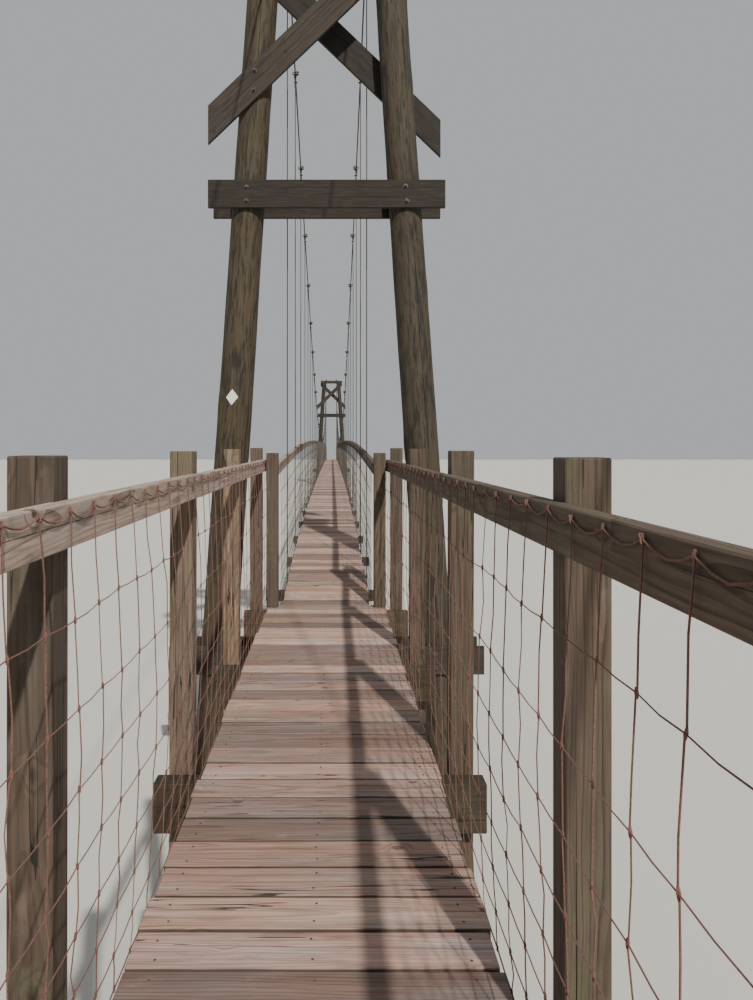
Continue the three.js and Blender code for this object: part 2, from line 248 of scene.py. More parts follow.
# %% Knots
KNOT_CELL = (150, 95)  # a knot's own room along and across the fibres
KNOTLESS = 0.7
KNOT_BEND, KNOT_EDGE, KNOT_HEART = 0.42, 0.15, 0.1  # shares of that room


def knots(tree, grain):
    """How near a knot is, and the knot itself. Seven cells in ten have none."""
    along, across = KNOT_CELL
    spot = add(tree, "VectorMath", (grain, (1 / along, 1 / across, 1 / across)), operation="MULTIPLY")
    cell = add(tree, "TexVoronoi", {"Vector": spot, "Scale": 1.0}).node
    lot = add(tree, "SeparateColor", (cell.outputs["Color"],))
    there = add(tree, "Math", (lot, KNOTLESS), operation="GREATER_THAN")
    distance = cell.outputs["Distance"]
    near = add(tree, "MapRange", (distance, KNOT_BEND, 0.0, 0.0, there), **SMOOTH)
    core = add(tree, "MapRange", (distance, KNOT_EDGE, KNOT_HEART, 0.0, there), **SMOOTH)
    return near, core


# %% Growth rings
LOG_TAPER = 0.012
RING_WANDER = 48.0
KNOT_SWELL = 22.0


def growth_rings(tree, grain, bend, near_knot, ring):
    """How dark each year's late wood makes the board, from 0 to 1. It comes on slowly and ends sharply."""
    across = add(tree, "VectorMath", (grain, (0, 1, 1)), operation="MULTIPLY")
    radius = add(tree, "VectorMath", (across,), "Value", operation="LENGTH")
    along = add(tree, "SeparateXYZ", (grain,))
    for part, reach in ((along, LOG_TAPER), (bend, RING_WANDER), (near_knot, KNOT_SWELL)):
        radius = add(tree, "Math", (part, reach, radius), operation="MULTIPLY_ADD")
    years = add(tree, "Math", (radius, ring), operation="DIVIDE")
    year = add(tree, "Math", (years,), operation="FLOOR")
    within = add(tree, "Math", (years,), operation="FRACT")
    weather = add(tree, "TexWhiteNoise", {"W": year}, noise_dimensions="1D")
    dark = add(tree, "MapRange", (weather, 0.0, 1.0, 0.25, 1.0))
    dark = add(tree, "MapRange", (within, 0.35, 0.88, 0.0, dark), **SMOOTH)
    return add(tree, "MapRange", (within, 1.0, 0.93, 0.0, dark), **SMOOTH)


# %% [markdown]
# The rings give a board its first colour. Fibres, streaks and the board's tone shade it, and rain and
# sun bleach it in patches. On some posts and rails that tone is painted sunlight or painted shade. Then
# stains, knots, flecks, moss, checks and grime cover parts of it in that order: the checks painted near
# black as painted shade, the grime dirt on board ends and painted shade on the plank sides in the gaps.
# A bump raises the late wood and sinks the checks.

# %% The wood's own colour
WARM_TINT = "#f9efd4"


def shaded_wood(tree, noises, latewood, lightness, warmth, early, late, contrast, grey):
    dark = add(tree, "Math", (latewood, contrast), operation="MULTIPLY")
    colour = add(tree, "Mix", {FACTOR: dark, UNDER: linear(early), OVER: linear(late)}, MIXED, **RGBA)
    shades = (
        (noises["fibre"], 0.28, 0.75, 0.82, 1.15),
        (noises["streak"], 0.3, 0.72, 0.82, 1.14),
        # the tone's lightness: at random on most boards, painted sunlight or painted shade on some posts and
        # rails
        (lightness, 0.0, 1.0, 0.25, 1.35),
    )
    for values in shades:
        shade = add(tree, "MapRange", values, **SMOOTH)
        colour = add(tree, "VectorMath", {"Vector": colour, "Scale": shade}, operation="SCALE")
    strength = add(tree, "MapRange", (noises["patch"], 0.38, 0.68, 1.0, 1 - grey), **SMOOTH)
    colour = add(tree, "HueSaturation", {"Saturation": strength, "Color": colour})
    warmed = {FACTOR: warmth, UNDER: colour, OVER: linear(WARM_TINT)}
    return add(tree, "Mix", warmed, MIXED, blend_type="MULTIPLY", **RGBA)


# %% A material for every kind of timber on the bridge
MOSS_PATCH = 260
# The first colour is painted shade inside the checks. The second is dirt on board ends, and dirt with
# painted shade on the plank sides in the gaps.
PAINTED_CHECK_SHADE, GRIME_AND_GAP_SHADE = "#17120e", "#33271f"


def timber(name, early, late, stain, moss, ring, contrast, grey, checks, damp, flecks, scuffs):
    """early and late are the colours of a year's wood, and ring is a year's growth in millimetres.

    From contrast to scuffs, 0 is none and 1 is a lot.
    """
    material, tree = new_material(name)
    grain = add(tree, "Attribute", {}, "Vector", attribute_name="grain")
    tone = add(tree, "Attribute", {}, attribute_name="tone").node
    lightness, warmth, lot = add(tree, "SeparateColor", (tone.outputs["Color"],)).node.outputs
    seed = add(tree, "Math", (lot, 40.0), operation="MULTIPLY")
    noises = wood_noises(tree, grain, seed)
    near_knot, knot = knots(tree, grain)
    latewood = growth_rings(tree, grain, noises["bend"], near_knot, ring)
    colour = shaded_wood(tree, noises, latewood, lightness, warmth, early, late, contrast, grey)

    check = add(tree, "Math", (noises["split"], 0.5, 0.007), operation="COMPARE")
    zone = 0.62 - 0.16 * checks
    check = add(tree, "MapRange", (noises["split_zone"], zone, zone + 0.1, 0.0, check), **SMOOTH)
    place = add(tree, "TexCoord", {}, "Object")
    growth = {"Vector": place, "Scale": 1 / (MOSS_PATCH * REAL_MM), "Detail": 5.0, "Roughness": 0.7}
    growth = add(tree, "TexNoise", growth)
    covers = (  # where each starts and where it is full, how much it then hides, and its colour
        (noises["blotch"], 0.54, 0.76, 0.6, stain),
        (knot, 0.0, 1.0, 0.8, stain),
        (noises["scuff"], 0.58, 0.74, scuffs, early),
        (noises["fleck"], 0.49, 0.6, flecks, stain),
        (growth, 0.62 - 0.3 * damp, 0.8 - 0.25 * damp, min(1.0, 1.6 * damp), moss),
        # checks: painted near black, a painted shade inside them
        (check, 0.0, 1.0, 0.9, PAINTED_CHECK_SHADE),
        # the tone's alpha: dirt on board ends, and dirt with painted shade on the plank sides in the gaps
        (tone.outputs["Alpha"], 0.0, 1.0, 0.85, GRIME_AND_GAP_SHADE),
    )
    for part, start, full, most, paint in covers:
        cover = add(tree, "MapRange", (part, start, full, 0.0, most), **SMOOTH)
        colour = add(tree, "Mix", {FACTOR: cover, UNDER: colour, OVER: linear(paint)}, MIXED, **RGBA)

    height = noises["fibre"]
    for part, rise in ((latewood, 0.35), (check, -2.2), (knot, -0.5)):
        height = add(tree, "Math", (part, rise, height), operation="MULTIPLY_ADD")
    bump = add(tree, "Bump", {"Strength": 0.8, "Distance": 1.2 * REAL_MM, "Height": height})
    rough = add(tree, "MapRange", (noises["fibre"], 0.3, 0.7, 0.92, 0.74))
    shader = add(tree, "BsdfPrincipled", {"Base Color": colour, "Roughness": rough, "Normal": bump})
    add(tree, "OutputMaterial", {"Surface": shader})
    return material


# %% The timbers
# Pressure-treated pine planks, worn by use: pinkish brown, soft arches and a fine grain
PLANK_WOOD = timber(
    "worn_pine_decking",
    early="#ab8b7e", late="#6f5247", stain="#54423a", moss="#6b6547",
    ring=10.0, contrast=0.6, grey=0.4, checks=0.45, damp=0.08, flecks=0.15, scuffs=0.35,
)
# Sawn posts and rails, out in the rain: grey to olive brown, with dark lines along the grain and long cracks
RAIL_WOOD = timber(
    "weathered_pine_rail",
    early="#9b877c", late="#54432f", stain="#2e251a", moss="#545a3b",
    ring=8.0, contrast=0.75, grey=0.3, checks=0.9, damp=0.33, flecks=0.15, scuffs=0.2,
)
# Peeled poles: dark olive brown, in part as painted shade, streaked down their length and flecked where
# the knife left bark
POLE_WOOD = timber(
    "peeled_pine_pole",
    early="#4a4132", late="#2d261b", stain="#16120d", moss="#3d4230",
    ring=8.0, contrast=0.7, grey=0.3, checks=0.8, damp=0.25, flecks=0.8, scuffs=0.5,
)
# Tower beams and braces: the darkest timber, a damp brown with a few paler streaks,
# darkened further as painted shade
BEAM_WOOD = timber(
    "treated_beam_with_painted_shade",
    early="#342b22", late="#1d1711", stain="#15110c", moss="#35382a",
    ring=7.0, contrast=0.8, grey=0.3, checks=0.6, damp=0.2, flecks=0.35, scuffs=0.6,
)
# Under the deck: the same pine, damp, and painted dark as painted shade
FRAME_WOOD = timber(
    "damp_pine_framing_with_painted_shade",
    early="#493c2e", late="#2b2219", stain="#1f1812", moss="#43482f",
    ring=6.0, contrast=0.7, grey=0.35, checks=0.6, damp=0.4, flecks=0.3, scuffs=0.3,
)
print("kinds of timber:", [m.name for m in (PLANK_WOOD, RAIL_WOOD, POLE_WOOD, BEAM_WOOD, FRAME_WOOD)])

# %% [markdown]
# ## Steel, concrete and paint
# The wire rope is galvanised and dull, a dark grey metal with brown grease in its grooves, painted darker
# still as painted shade. The fence wire of the approaches has lost its zinc and is rough with pinkish brown
# rust, and that of the span is grey and dull. Bolts and clips are zinc plated, with rust starting, and
# nails and plates are bare steel, rusted.
# Each is the same finish with other amounts: clean metal, patches where rust makes it brown, rough and no
# longer metallic, and a fine grit in the rust. Metals keep the shader's own index of refraction.

# %% Steel finishes
METALLIC = 0.9
RUST_GRIT = 4


def metal(name, clean, rust, rusted, roughness, patch=30.0):
    """rusted says how much is rust, from 0 to 1, and patch is the size of its patches in millimetres."""
    material, tree = new_material(name)
    place = add(tree, "TexCoord", {}, "Object")
    patches = {"Vector": place, "Scale": 1 / (patch * REAL_MM), "Detail": 6.0, "Roughness": 0.65}
    patches = add(tree, "TexNoise", patches)
    grit = add(tree, "TexNoise", {"Vector": place, "Scale": 1 / (RUST_GRIT * REAL_MM), "Detail": 3.0})
    start, full = 0.72 - 0.55 * rusted, 0.82 - 0.45 * rusted
    rusty = add(tree, "MapRange", (patches, start, full), **SMOOTH)
    shade = add(tree, "MapRange", (grit, 0.3, 0.7, 1.0, 0.5))
    scale = add(tree, "VectorMath", {"Vector": linear(rust)[:3], "Scale": shade}, operation="SCALE")
    colour = add(tree, "Mix", {FACTOR: rusty, UNDER: linear(clean), OVER: scale}, MIXED, **RGBA)
    shine = add(tree, "MapRange", (rusty, 0.0, 1.0, METALLIC, 0.0))
    rough = add(tree, "MapRange", (rusty, 0.0, 1.0, roughness, 0.9))
    bump = add(tree, "Bump", {"Strength": 0.5, "Distance": 0.4 * REAL_MM, "Height": grit})
    look = {"Base Color": colour, "Metallic": shine, "Roughness": rough, "Normal": bump}
    add(tree, "OutputMaterial", {"Surface": add(tree, "BsdfPrincipled", look)})
    return material


# The rope's dark grey is partly painted shade.
ROPE_STEEL = metal("galvanised_wire_rope", "#494541", "#3a2a21", 0.35, 0.6)
NET_WIRE = metal("rusted_fence_wire", "#726059", "#7f5a50", 0.85, 0.6)
SPAN_WIRE = metal("dulled_fence_wire", "#65605b", "#62544c", 0.5, 0.6)
BOLT_STEEL = metal("zinc_plated_bolt", "#5f5c57", "#4b372b", 0.6, 0.6, patch=18.0)
NAIL_STEEL = metal("rusted_nail_head", "#5d514a", "#58402f", 0.8, 0.7, patch=8.0)
SADDLE_STEEL = metal("rusted_steel_plate", "#4a4440", "#4c3529", 0.7, 0.6, patch=40.0)

# %% [markdown]
# Concrete is cast, so it is matt and pale grey, clouded where it dried unevenly, gritty, and pitted where
# air lay against the mould; the pits are painted darker, as painted shade. The blaze is white paint on thin
# sheet, chalky and a little chipped.

# %% Concrete and paint
CLOUD, SAND, PIT_SPACING = 240, 9, 38
PAINT_CHIP = 16


def cast_concrete():
    material, tree = new_material("cast_concrete")
    place = add(tree, "TexCoord", {}, "Object")
    cloud = {"Vector": place, "Scale": 1 / (CLOUD * REAL_MM), "Detail": 6.0, "Roughness": 0.6}
    cloudy = add(tree, "MapRange", (add(tree, "TexNoise", cloud), 0.3, 0.7), **SMOOTH)
    sand = {"Vector": place, "Scale": 1 / (SAND * REAL_MM), "Detail": 4.0, "Roughness": 0.7}
    grit = add(tree, "TexNoise", sand)
    gritty = add(tree, "MapRange", (grit, 0.45, 0.7, 0.0, 0.4), **SMOOTH)
    cells = add(tree, "TexVoronoi", {"Vector": place, "Scale": 1 / (PIT_SPACING * REAL_MM)})
    # The pits are painted darker, a painted shade in them.
    pits = add(tree, "MapRange", (cells, 0.13, 0.07, 0.0, 0.7), **SMOOTH)
    colour = linear("#8b877d")
    for cover, paint in ((cloudy, "#b3aea2"), (gritty, "#6f6b62"), (pits, "#4d4a44")):
        colour = add(tree, "Mix", {FACTOR: cover, UNDER: colour, OVER: linear(paint)}, MIXED, **RGBA)
    height = add(tree, "Math", (pits, -2.0, grit), operation="MULTIPLY_ADD")
    bump = add(tree, "Bump", {"Strength": 0.7, "Distance": 1.5 * REAL_MM, "Height": height})
    shader = add(tree, "BsdfPrincipled", {"Base Color": colour, "Roughness": 0.92, "Normal": bump})
    add(tree, "OutputMaterial", {"Surface": shader})
    return material


def painted_plate():
    material, tree = new_material("white_painted_plate")
    place = add(tree, "TexCoord", {}, "Object")
    noises = add(tree, "TexNoise", {"Vector": place, "Scale": 1 / (PAINT_CHIP * REAL_MM), "Detail": 5.0})
    chips = add(tree, "MapRange", (noises, 0.64, 0.68), **SMOOTH)
    chipped = {FACTOR: chips, UNDER: linear("#d9d8cf"), OVER: linear("#8f8a7a")}
    colour = add(tree, "Mix", chipped, MIXED, **RGBA)
    shader = add(tree, "BsdfPrincipled", {"Base Color": colour, "Roughness": 0.55})
    add(tree, "OutputMaterial", {"Surface": shader})
    return material


CONCRETE = cast_concrete()
WHITE_PAINT = painted_plate()

# %% [markdown]
# ## From a bmesh to a finished piece
# Shapes are made in real millimetres in a bmesh. Finishing one scales it to model metres, gives it its
# material and its shading, hangs it on the frame's root and hides the solids that it stands for.

# %% Finish a piece
def finish_piece(name, shape, material, replaced=(), smooth_angle=None):
    bmesh.ops.scale(shape, vec=(REAL_MM,) * 3, verts=shape.verts)
    bmesh.ops.recalc_face_normals(shape, faces=shape.faces)
    mesh = bpy.data.meshes.new(name)
    shape.to_mesh(mesh)
    shape.free()
    mesh.materials.append(material)
    if smooth_angle is not None:
        mesh.polygons.foreach_set("use_smooth", [True] * len(mesh.polygons))
        mesh.set_sharp_from_angle(angle=math.radians(smooth_angle))
    piece = bpy.data.objects.new(name, mesh)
    bpy.context.scene.collection.objects.link(piece)
    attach(piece, "root")
    if replaced:
        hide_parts(*replaced)
    mesh.calc_loop_triangles()
    print(name, "triangles", len(mesh.loop_triangles))


# %% [markdown]
# ## Rings of points, extruded
# Boards and poles are both drawn as a closed ring of points that is extruded along its length in steps.
# Each point also carries its place in the log and its board's tone, which the timber reads.

# %% Extrude a ring from station to station
def new_shape():
    """An empty bmesh whose points can carry their place in the log and their board's tone."""
    shape = bmesh.new()
    shape.verts.layers.float_vector.new("grain")
    shape.verts.layers.float_color.new("tone")
    return shape


def wood_layers(shape):
    return shape.verts.layers.float_vector["grain"], shape.verts.layers.float_color["tone"]


def extrude_ring(shape, ring):
    """Extrudes a closed ring of points and gives the new ring in the same order."""
    edges = [shape.edges.get((a, b)) for a, b in zip(ring, ring[1:] + ring[:1])]
    made = bmesh.ops.extrude_edge_only(shape, edges=edges)["geom"]
    new = {point for point in made if isinstance(point, bmesh.types.BMVert)}
    return [next(e.other_vert(v) for e in v.link_edges if e.other_vert(v) in new) for v in ring]


def add_rings(shape, count, stations, settle):
    """A closed skin through a ring of points at each station, which settle puts in its place."""
    ring = [shape.verts.new() for _ in range(count)]
    for a, b in zip(ring, ring[1:] + ring[:1]):
        shape.edges.new((a, b))
    first, last = ring, len(stations) - 1
    settle(first, stations[0], at_end=True)
    for number in range(1, len(stations)):
        ring = extrude_ring(shape, ring)
        settle(ring, stations[number], at_end=number == last)
    shape.faces.new(list(reversed(first)))
    shape.faces.new(ring)


# %% [markdown]
# ## One way to make every board and post
# A real board isn't a box. Its edges are eased, its ends are a little rough, and it splits along the grain
# as it dries.

# %% Drying checks
CHECK_FULLNESS = 0.6
WIDE = 1.4
LEAST_APART = 4


def drying_check(rng, room, length):
    """Where one check lies across its face, how deep and wide it is, and where along the board it runs."""
    start = rng.uniform(-0.62, 0.25) * length
    return {
        "at": rng.uniform(-0.34, 0.34) * room,
        "depth": rng.uniform(5, 13),
        "half_width": rng.uniform(0.9, 1.8),
        "start": start,
        "end": start + rng.uniform(0.25, 0.8) * length,
        "wander": rng.uniform(0, 50),
    }


def check_depth(check, x):
    """A check is deep for most of its length and closes at both ends."""
    share = (x - check["start"]) / (check["end"] - check["start"])
    return check["depth"] * math.sin(math.pi * share) ** CHECK_FULLNESS if 0 < share < 1 else 0.0


def choose_checks(width, depth, length, count, rng):
    """Checks for a board's four faces, at most two to a face. They open on its wide faces if it has some."""
    if width > WIDE * depth:
        faces = (0, 2)
    elif depth > WIDE * width:
        faces = (1, 3)
    else:
        faces = (0, 1, 2, 3)
    face_checks = {}
    for _ in range(count):
        face = rng.choice(faces)
        listed = face_checks.setdefault(face, [])
        if len(listed) < 2:
            listed.append(drying_check(rng, width if face in (0, 2) else depth, length))
    for listed in face_checks.values():
        if len(listed) == 2:
            listed[0]["at"] = -abs(listed[0]["at"]) - LEAST_APART
            listed[1]["at"] = abs(listed[1]["at"]) + LEAST_APART
    return face_checks


# %% The ring of points round a board
def end_outline(width, depth, chamfer, face_checks):
    """Points with their inward direction, that of their face, their check and whether they are its floor."""
    faces = [
        (Vector((-width / 2, -depth / 2)), Vector((1, 0)), width),
        (Vector((width / 2, -depth / 2)), Vector((0, 1)), depth),
        (Vector((width / 2, depth / 2)), Vector((-1, 0)), width),
        (Vector((-width / 2, depth / 2)), Vector((0, -1)), depth),
    ]
    points = []
    for number, (corner, along, room) in enumerate(faces):
        inward = Vector((-along.y, along.x))
        points.append((corner + along * chamfer, inward, along, None, 0))
        for check in sorted(face_checks.get(number, []), key=lambda c: c["at"]):
            middle = corner + along * (room / 2 + check["at"])
            points.append((middle - along * check["half_width"], inward, along, check, 0))
            points.append((middle, inward, along, check, 1))
            points.append((middle + along * check["half_width"], inward, along, check, 0))
        points.append((corner + along * (room - chamfer), inward, along, None, 0))
    return points


# %% Boards with eased edges and drying checks
PLAIN = ((0.3, 0.75), (0.0, 1.0))
END_CHAMFER = 0.7  # of the chamfer along the edges
END_GRIME = 0.5
CHECK_WANDER = 2.2


def unevenness(x, lot, face):
    """How much more or less than its share an edge has worn at a place along it, from about -1 to 1."""
    broad = noise.noise(Vector((x / 160, lot * 90, face)))
    fine = noise.noise(Vector((x / 45, lot * 90, 5)))
    return broad + fine


def add_board(shape, length, width, depth, place, rng, chamfer=2.5, checks=0, step=120, look=PLAIN,
              grime_and_gap_shade=0.0, wear=0.0):
    """A board along its local X, centred on its middle. place is a matrix or a function of a local point.

    look holds the lowest and highest lightness and warmth, which on some posts and rails stand for painted
    sunlight or painted shade. grime darkens its edges with dirt and with painted shade in the gaps between
    planks, and wear makes them uneven.
    """
    grain, tone = wood_layers(shape)
    face_checks = choose_checks(width, depth, length, checks, rng)
    outline = end_outline(width, depth, chamfer, face_checks)
    steps = max(1, round(length / step)) if face_checks or callable(place) or wear else 1
    reach = length / 2 - chamfer
    between = [-reach + 2 * reach * i / steps for i in range(steps + 1)]
    offset = Vector((rng.uniform(0, 9000), rng.uniform(-55, 55), rng.choice(SIDES) * rng.uniform(15, 85)))
    light, warmth, lot = rng.uniform(*look[0]), rng.uniform(*look[1]), rng.random()
    put = place if callable(place) else lambda point: place @ point

    def settle(ring, x, at_end):
        shrink = chamfer * END_CHAMFER if at_end else 0.0
        for point, (base, inward, along, check, pushed) in zip(ring, outline):
            on_edge = abs(inward.x) > 0.5
            if check:
                drift = CHECK_WANDER * noise.noise(Vector((x / 260, check["wander"], 0)))
                spot = base + inward * shrink + along * drift + inward * (pushed * check_depth(check, x))
            else:
                spot = base * (1 - shrink * 2 / max(width, depth))
            if on_edge and wear:
                spot = spot + inward * wear * (1 + unevenness(x, lot, inward.x))
            local = Vector((x, spot.x, spot.y))
            point[grain] = local + offset
            # The alpha darkens the ends as dirt, and the edges as dirt and painted shade.
            point[tone] = (light, warmth, lot, max(grime_and_gap_shade * on_edge, END_GRIME * at_end))
            point.co = put(local)

    add_rings(shape, len(outline), [-length / 2, *between, length / 2], settle)


# %% [markdown]
# ## The deck
# The planks are 140 x 38 mm boards laid across the bridge at about 150 mm. They are laid by hand: their ends
# don't line up, the gaps vary and a few sit a little high. Near the camera their checks show, so those
# planks get them, and the hundreds that only show as lines stay plain.

# %% Planks
PLANK_WIDTH, PLANK_PITCH = 140, 150
PLANK_LOOK = ((0.25, 0.85), (0.0, 0.4))
PLANK_WEAR = 1.6
CLOSE_LENGTH = 3000  # how far from each tower the span's planks are as worn as the approach's


def plank_places(y_low, y_high):
    count = round((y_high - y_low) / PLANK_PITCH)
    pitch = (y_high - y_low) / count
    return [y_low + pitch * (i + 0.5) for i in range(count)]


def add_plank(shape, y, top, half, rng, slope=0.0, checks=0, wear=0.0):
    left, right = -half + rng.uniform(0, 15), half - rng.uniform(0, 15)
    at = ((left + right) / 2, y + rng.uniform(-1.5, 1.5), top - BOARD / 2 - rng.uniform(0.2, 2.2))
    turn = Matrix.Rotation(math.radians(rng.gauss(0, 0.16)), 4, "Z")
    tip = Matrix.Rotation(slope + math.radians(rng.gauss(0, 0.35)), 4, "X")
    width = PLANK_WIDTH + rng.uniform(-1, 5)
    place = Matrix.Translation(at) @ turn @ tip
    add_board(shape, right - left, width, BOARD - 1, place, rng, chamfer=3.5, checks=checks, step=45,
              look=PLANK_LOOK, grime_and_gap_shade=1.0, wear=wear)


def approach_planks(end, seed):
    rng = random.Random(seed)
    low, high = real_box(f"{end}_approach_deck")
    shape = new_shape()
    for y in plank_places(low.y, high.y):
        add_plank(shape, y, high.z, high.x, rng, checks=rng.choice([0, 0, 1, 2]), wear=PLANK_WEAR)
    finish_piece(f"{end}_approach_planks", shape, PLANK_WOOD, [f"{end}_approach_deck"])


def span_planks(seed):
    rng = random.Random(seed)
    half = real_box("span_deck")[1].x
    shape = new_shape()
    for y in plank_places(-DECK_END, DECK_END):
        slope = math.atan((deck_level(y + 60) - deck_level(y - 60)) / 120)
        close = abs(y) > HALF_SPAN - CLOSE_LENGTH
        checks = rng.choice([0, 1]) if close else 0
        add_plank(shape, y, deck_level(y), half, rng, slope, checks, PLANK_WEAR if close else 0.0)
    finish_piece("span_planks", shape, PLANK_WOOD, ["span_deck"])


approach_planks("near", 11)
approach_planks("far", 12)
span_planks(13)

# %% [markdown]
# Two nails hold each plank to each stringer. A nail head is a low dome of six sides, because there are
# about two thousand of them and each is seen as a dot.

# %% Nails
NAIL_HEAD, NAIL_RISE = 4.2, 2.4
NAIL_BESIDE = 38
STRINGERS = {"approach": (-380, 0, 380), "span": (-250, 250)}


def add_nails(shape, y, top, columns, rng):
    for x in columns:
        for side in SIDES:
            across, along = x + rng.uniform(-7, 7), y + side * NAIL_BESIDE + rng.uniform(-6, 6)
            spot = Matrix.Translation((across, along, top - NAIL_RISE / 2))
            bmesh.ops.create_cone(shape, cap_ends=True, segments=6, radius1=NAIL_HEAD,
                                  radius2=NAIL_HEAD * 0.6, depth=NAIL_RISE, matrix=spot)


def deck_nails():
    rng = random.Random(21)
    shape = bmesh.new()
    for end in ENDS:
        low, high = real_box(f"{end}_approach_deck")
        for y in plank_places(low.y, high.y):
            add_nails(shape, y, high.z, STRINGERS["approach"], rng)
    for y in plank_places(-DECK_END, DECK_END):
        add_nails(shape, y, deck_level(y), STRINGERS["span"], rng)
    finish_piece("deck_nails", shape, NAIL_STEEL)


deck_nails()

# %% [markdown]
# ## Under the deck
# The approach stands on bearers, one beside each pair of posts, with stringers let in between them. The
# hanging deck lies on two stringers, which follow its curve on a needle beam at every hanger. Stringers
# come in lengths of about four and a half metres, butted over a beam.

# %% Places for boards
BAYS, BAY = 6, 1500
APPROACH_END = 780
BAY_STARTS = [-APPROACH_END - i * BAY for i in range(BAYS + 1)]
APPROACH_LOW = BAY_STARTS[-1] - POST - GAP
ACROSS, ALONG, UP = (1, 0, 0), (0, 1, 0), (0, 0, 1)


def placed(at, along, across):
    """A place whose first axis runs along a board and whose second runs across its width."""
    along, across = Vector(along).normalized(), Vector(across).normalized()
    turn = Matrix((along, across, along.cross(across))).transposed()
    return Matrix.Translation(at) @ turn.to_4x4()


def following(level, x, y_from, y_to, below, hand=1):
    """Places a board on edge along the bridge, so that its middle follows a level."""
    middle = (y_from + y_to) / 2

    def put(point):
        y = middle + point.x
        return Vector((x + hand * point.z, y, level(y) - below + point.y))

    return put


# %% Bearers, stringers and needle beams
BEARER_LENGTH, BEARER_DEPTH = 1240, 184
STRINGER_DEPTH = 140
NEEDLE_LENGTH = 900
UNDER_DECK = BOARD + GAP
NEEDLE_BELOW = UNDER_DECK + STRINGER_DEPTH - 10


def approach_frame(end, seed):
    rng = random.Random(seed)
    shape = new_shape()
    top = DECK - UNDER_DECK
    for start in BAY_STARTS:
        middle = (0, start - GAP - POST / 2, top - BEARER_DEPTH / 2)
        place = ENDS[end] @ placed(middle, ACROSS, UP)
        add_board(shape, BEARER_LENGTH, BEARER_DEPTH, POST, place, rng, chamfer=3, checks=2)
    for start in BAY_STARTS[1:]:
        low, high = start + 1, start + BAY - POST - 2
        for x in STRINGERS["approach"]:
            place = ENDS[end] @ placed((x, (low + high) / 2, top - STRINGER_DEPTH / 2), ALONG, UP)
            add_board(shape, high - low, STRINGER_DEPTH, BOARD, place, rng, checks=1, step=300)
    name = f"{end}_bearers_and_stringers"
    finish_piece(name, shape, FRAME_WOOD, [f"{end}_approach_frame"])


def span_frame(seed):
    rng = random.Random(seed)
    shape = new_shape()
    for y in HANGERS:
        place = placed((0, y, deck_level(y) - NEEDLE_BELOW - POST / 2), ACROSS, UP)
        add_board(shape, NEEDLE_LENGTH, POST, POST, place, rng, chamfer=3, checks=1)
    joints = [-DECK_END, *HANGERS[2:-2:3], DECK_END]
    below = UNDER_DECK + STRINGER_DEPTH / 2
    for low, high in zip(joints, joints[1:]):
        for x in STRINGERS["span"]:
            put = following(deck_level, x, low + 1, high - 1, below)
            add_board(shape, high - low - 2, STRINGER_DEPTH, BOARD, put, rng, checks=1,
                      step=HANGER_PITCH / 4)
    name = "span_stringers_and_needle_beams"
    finish_piece(name, shape, FRAME_WOOD, ["span_deck_frame"])


approach_frame("near", 31)
approach_frame("far", 32)
span_frame(33)

# %% [markdown]
# ## Railings of the approach
# Each post is a 4 x 4 that runs from the ground to above the rail. The rails are 2 x 4 boards on edge, let
# a little way into the inner faces of the posts, two bays long and butted at a post. The left rail is
# painted lighter, as painted sunlight. The posts, most of all those on the right side, nearest the camera
# and at the corners, and the right rail are painted darker, as painted shade.

# %% Posts and rails
POST_FACE, POST_TOP = 492, 1200
RAIL_FACE, RAIL_DEPTH, RAIL_TOP = 460, 89, 1110
# lightness by side: the left rail's is painted sunlight; the posts, the right rail and one pair of posts are
# painted shade
POST_LIGHTNESS_WITH_PAINTED_SHADE = {-1: (0.15, 0.55), 1: (0.0, 0.25)}
RAIL_PAINTED_SUN_AND_SHADE = {-1: (0.75, 1.0), 1: (0.0, 0.2)}
PAINTED_SHADE_POST, PAINTED_SHADE_LIGHTNESS = BAY_STARTS[3], (0.0, 0.1)
POST_WARMTH, RAIL_WARMTH = (0.6, 1.0), {-1: (0.0, 0.2), 1: (0.6, 1.0)}


def rail_look(side):
    return RAIL_PAINTED_SUN_AND_SHADE[side], RAIL_WARMTH[side]


def approach_railing(end, side, seed):
    rng = random.Random(seed)
    shape = new_shape()
    for start in BAY_STARTS:
        height = DECK + POST_TOP - 1 - rng.uniform(0, 6)
        foot = Matrix.Translation((side * (POST_FACE + POST / 2), start + POST / 2, 1))
        lean = Matrix.Rotation(math.radians(rng.gauss(0, 0.12)), 4, "Y")
        place = ENDS[end] @ foot @ lean @ placed((0, 0, height / 2), UP, ACROSS)
        # posts are painted darker as painted shade, one pair near the camera darkest
        lightness = PAINTED_SHADE_LIGHTNESS if start == PAINTED_SHADE_POST else POST_LIGHTNESS_WITH_PAINTED_SHADE[side]
        add_board(shape, height, POST, POST, place, rng, chamfer=3, checks=rng.choice([3, 4, 5]), step=130,
                  look=(lightness, POST_WARMTH))
    joints = [APPROACH_LOW, BAY_STARTS[4] + POST / 2, BAY_STARTS[2] + POST / 2, -APPROACH_END + POST]
    for low, high in zip(joints, joints[1:]):
        height = DECK + RAIL_TOP - RAIL_DEPTH / 2 - rng.uniform(0, 3)
        middle = (side * (RAIL_FACE + BOARD / 2), (low + high) / 2, height)
        place = ENDS[end] @ placed(middle, ALONG, UP)
        add_board(shape, high - low - 3, RAIL_DEPTH, BOARD, place, rng, chamfer=3, checks=3, step=150,
                  look=rail_look(side))
    name = corner_name(end, side)
    finish_piece(f"{name}_posts_and_rail", shape, RAIL_WOOD, [f"{name}_railing"])


for seed, (end, side) in enumerate(CORNERS, 41):
    approach_railing(end, side, seed)

# %% [markdown]
# ## The hanging rail
# The rail of the hanging deck starts at a short post at each corner and follows the deck from hanger to
# hanger. It is a board on edge inside the hangers' plane, in lengths of three metres.

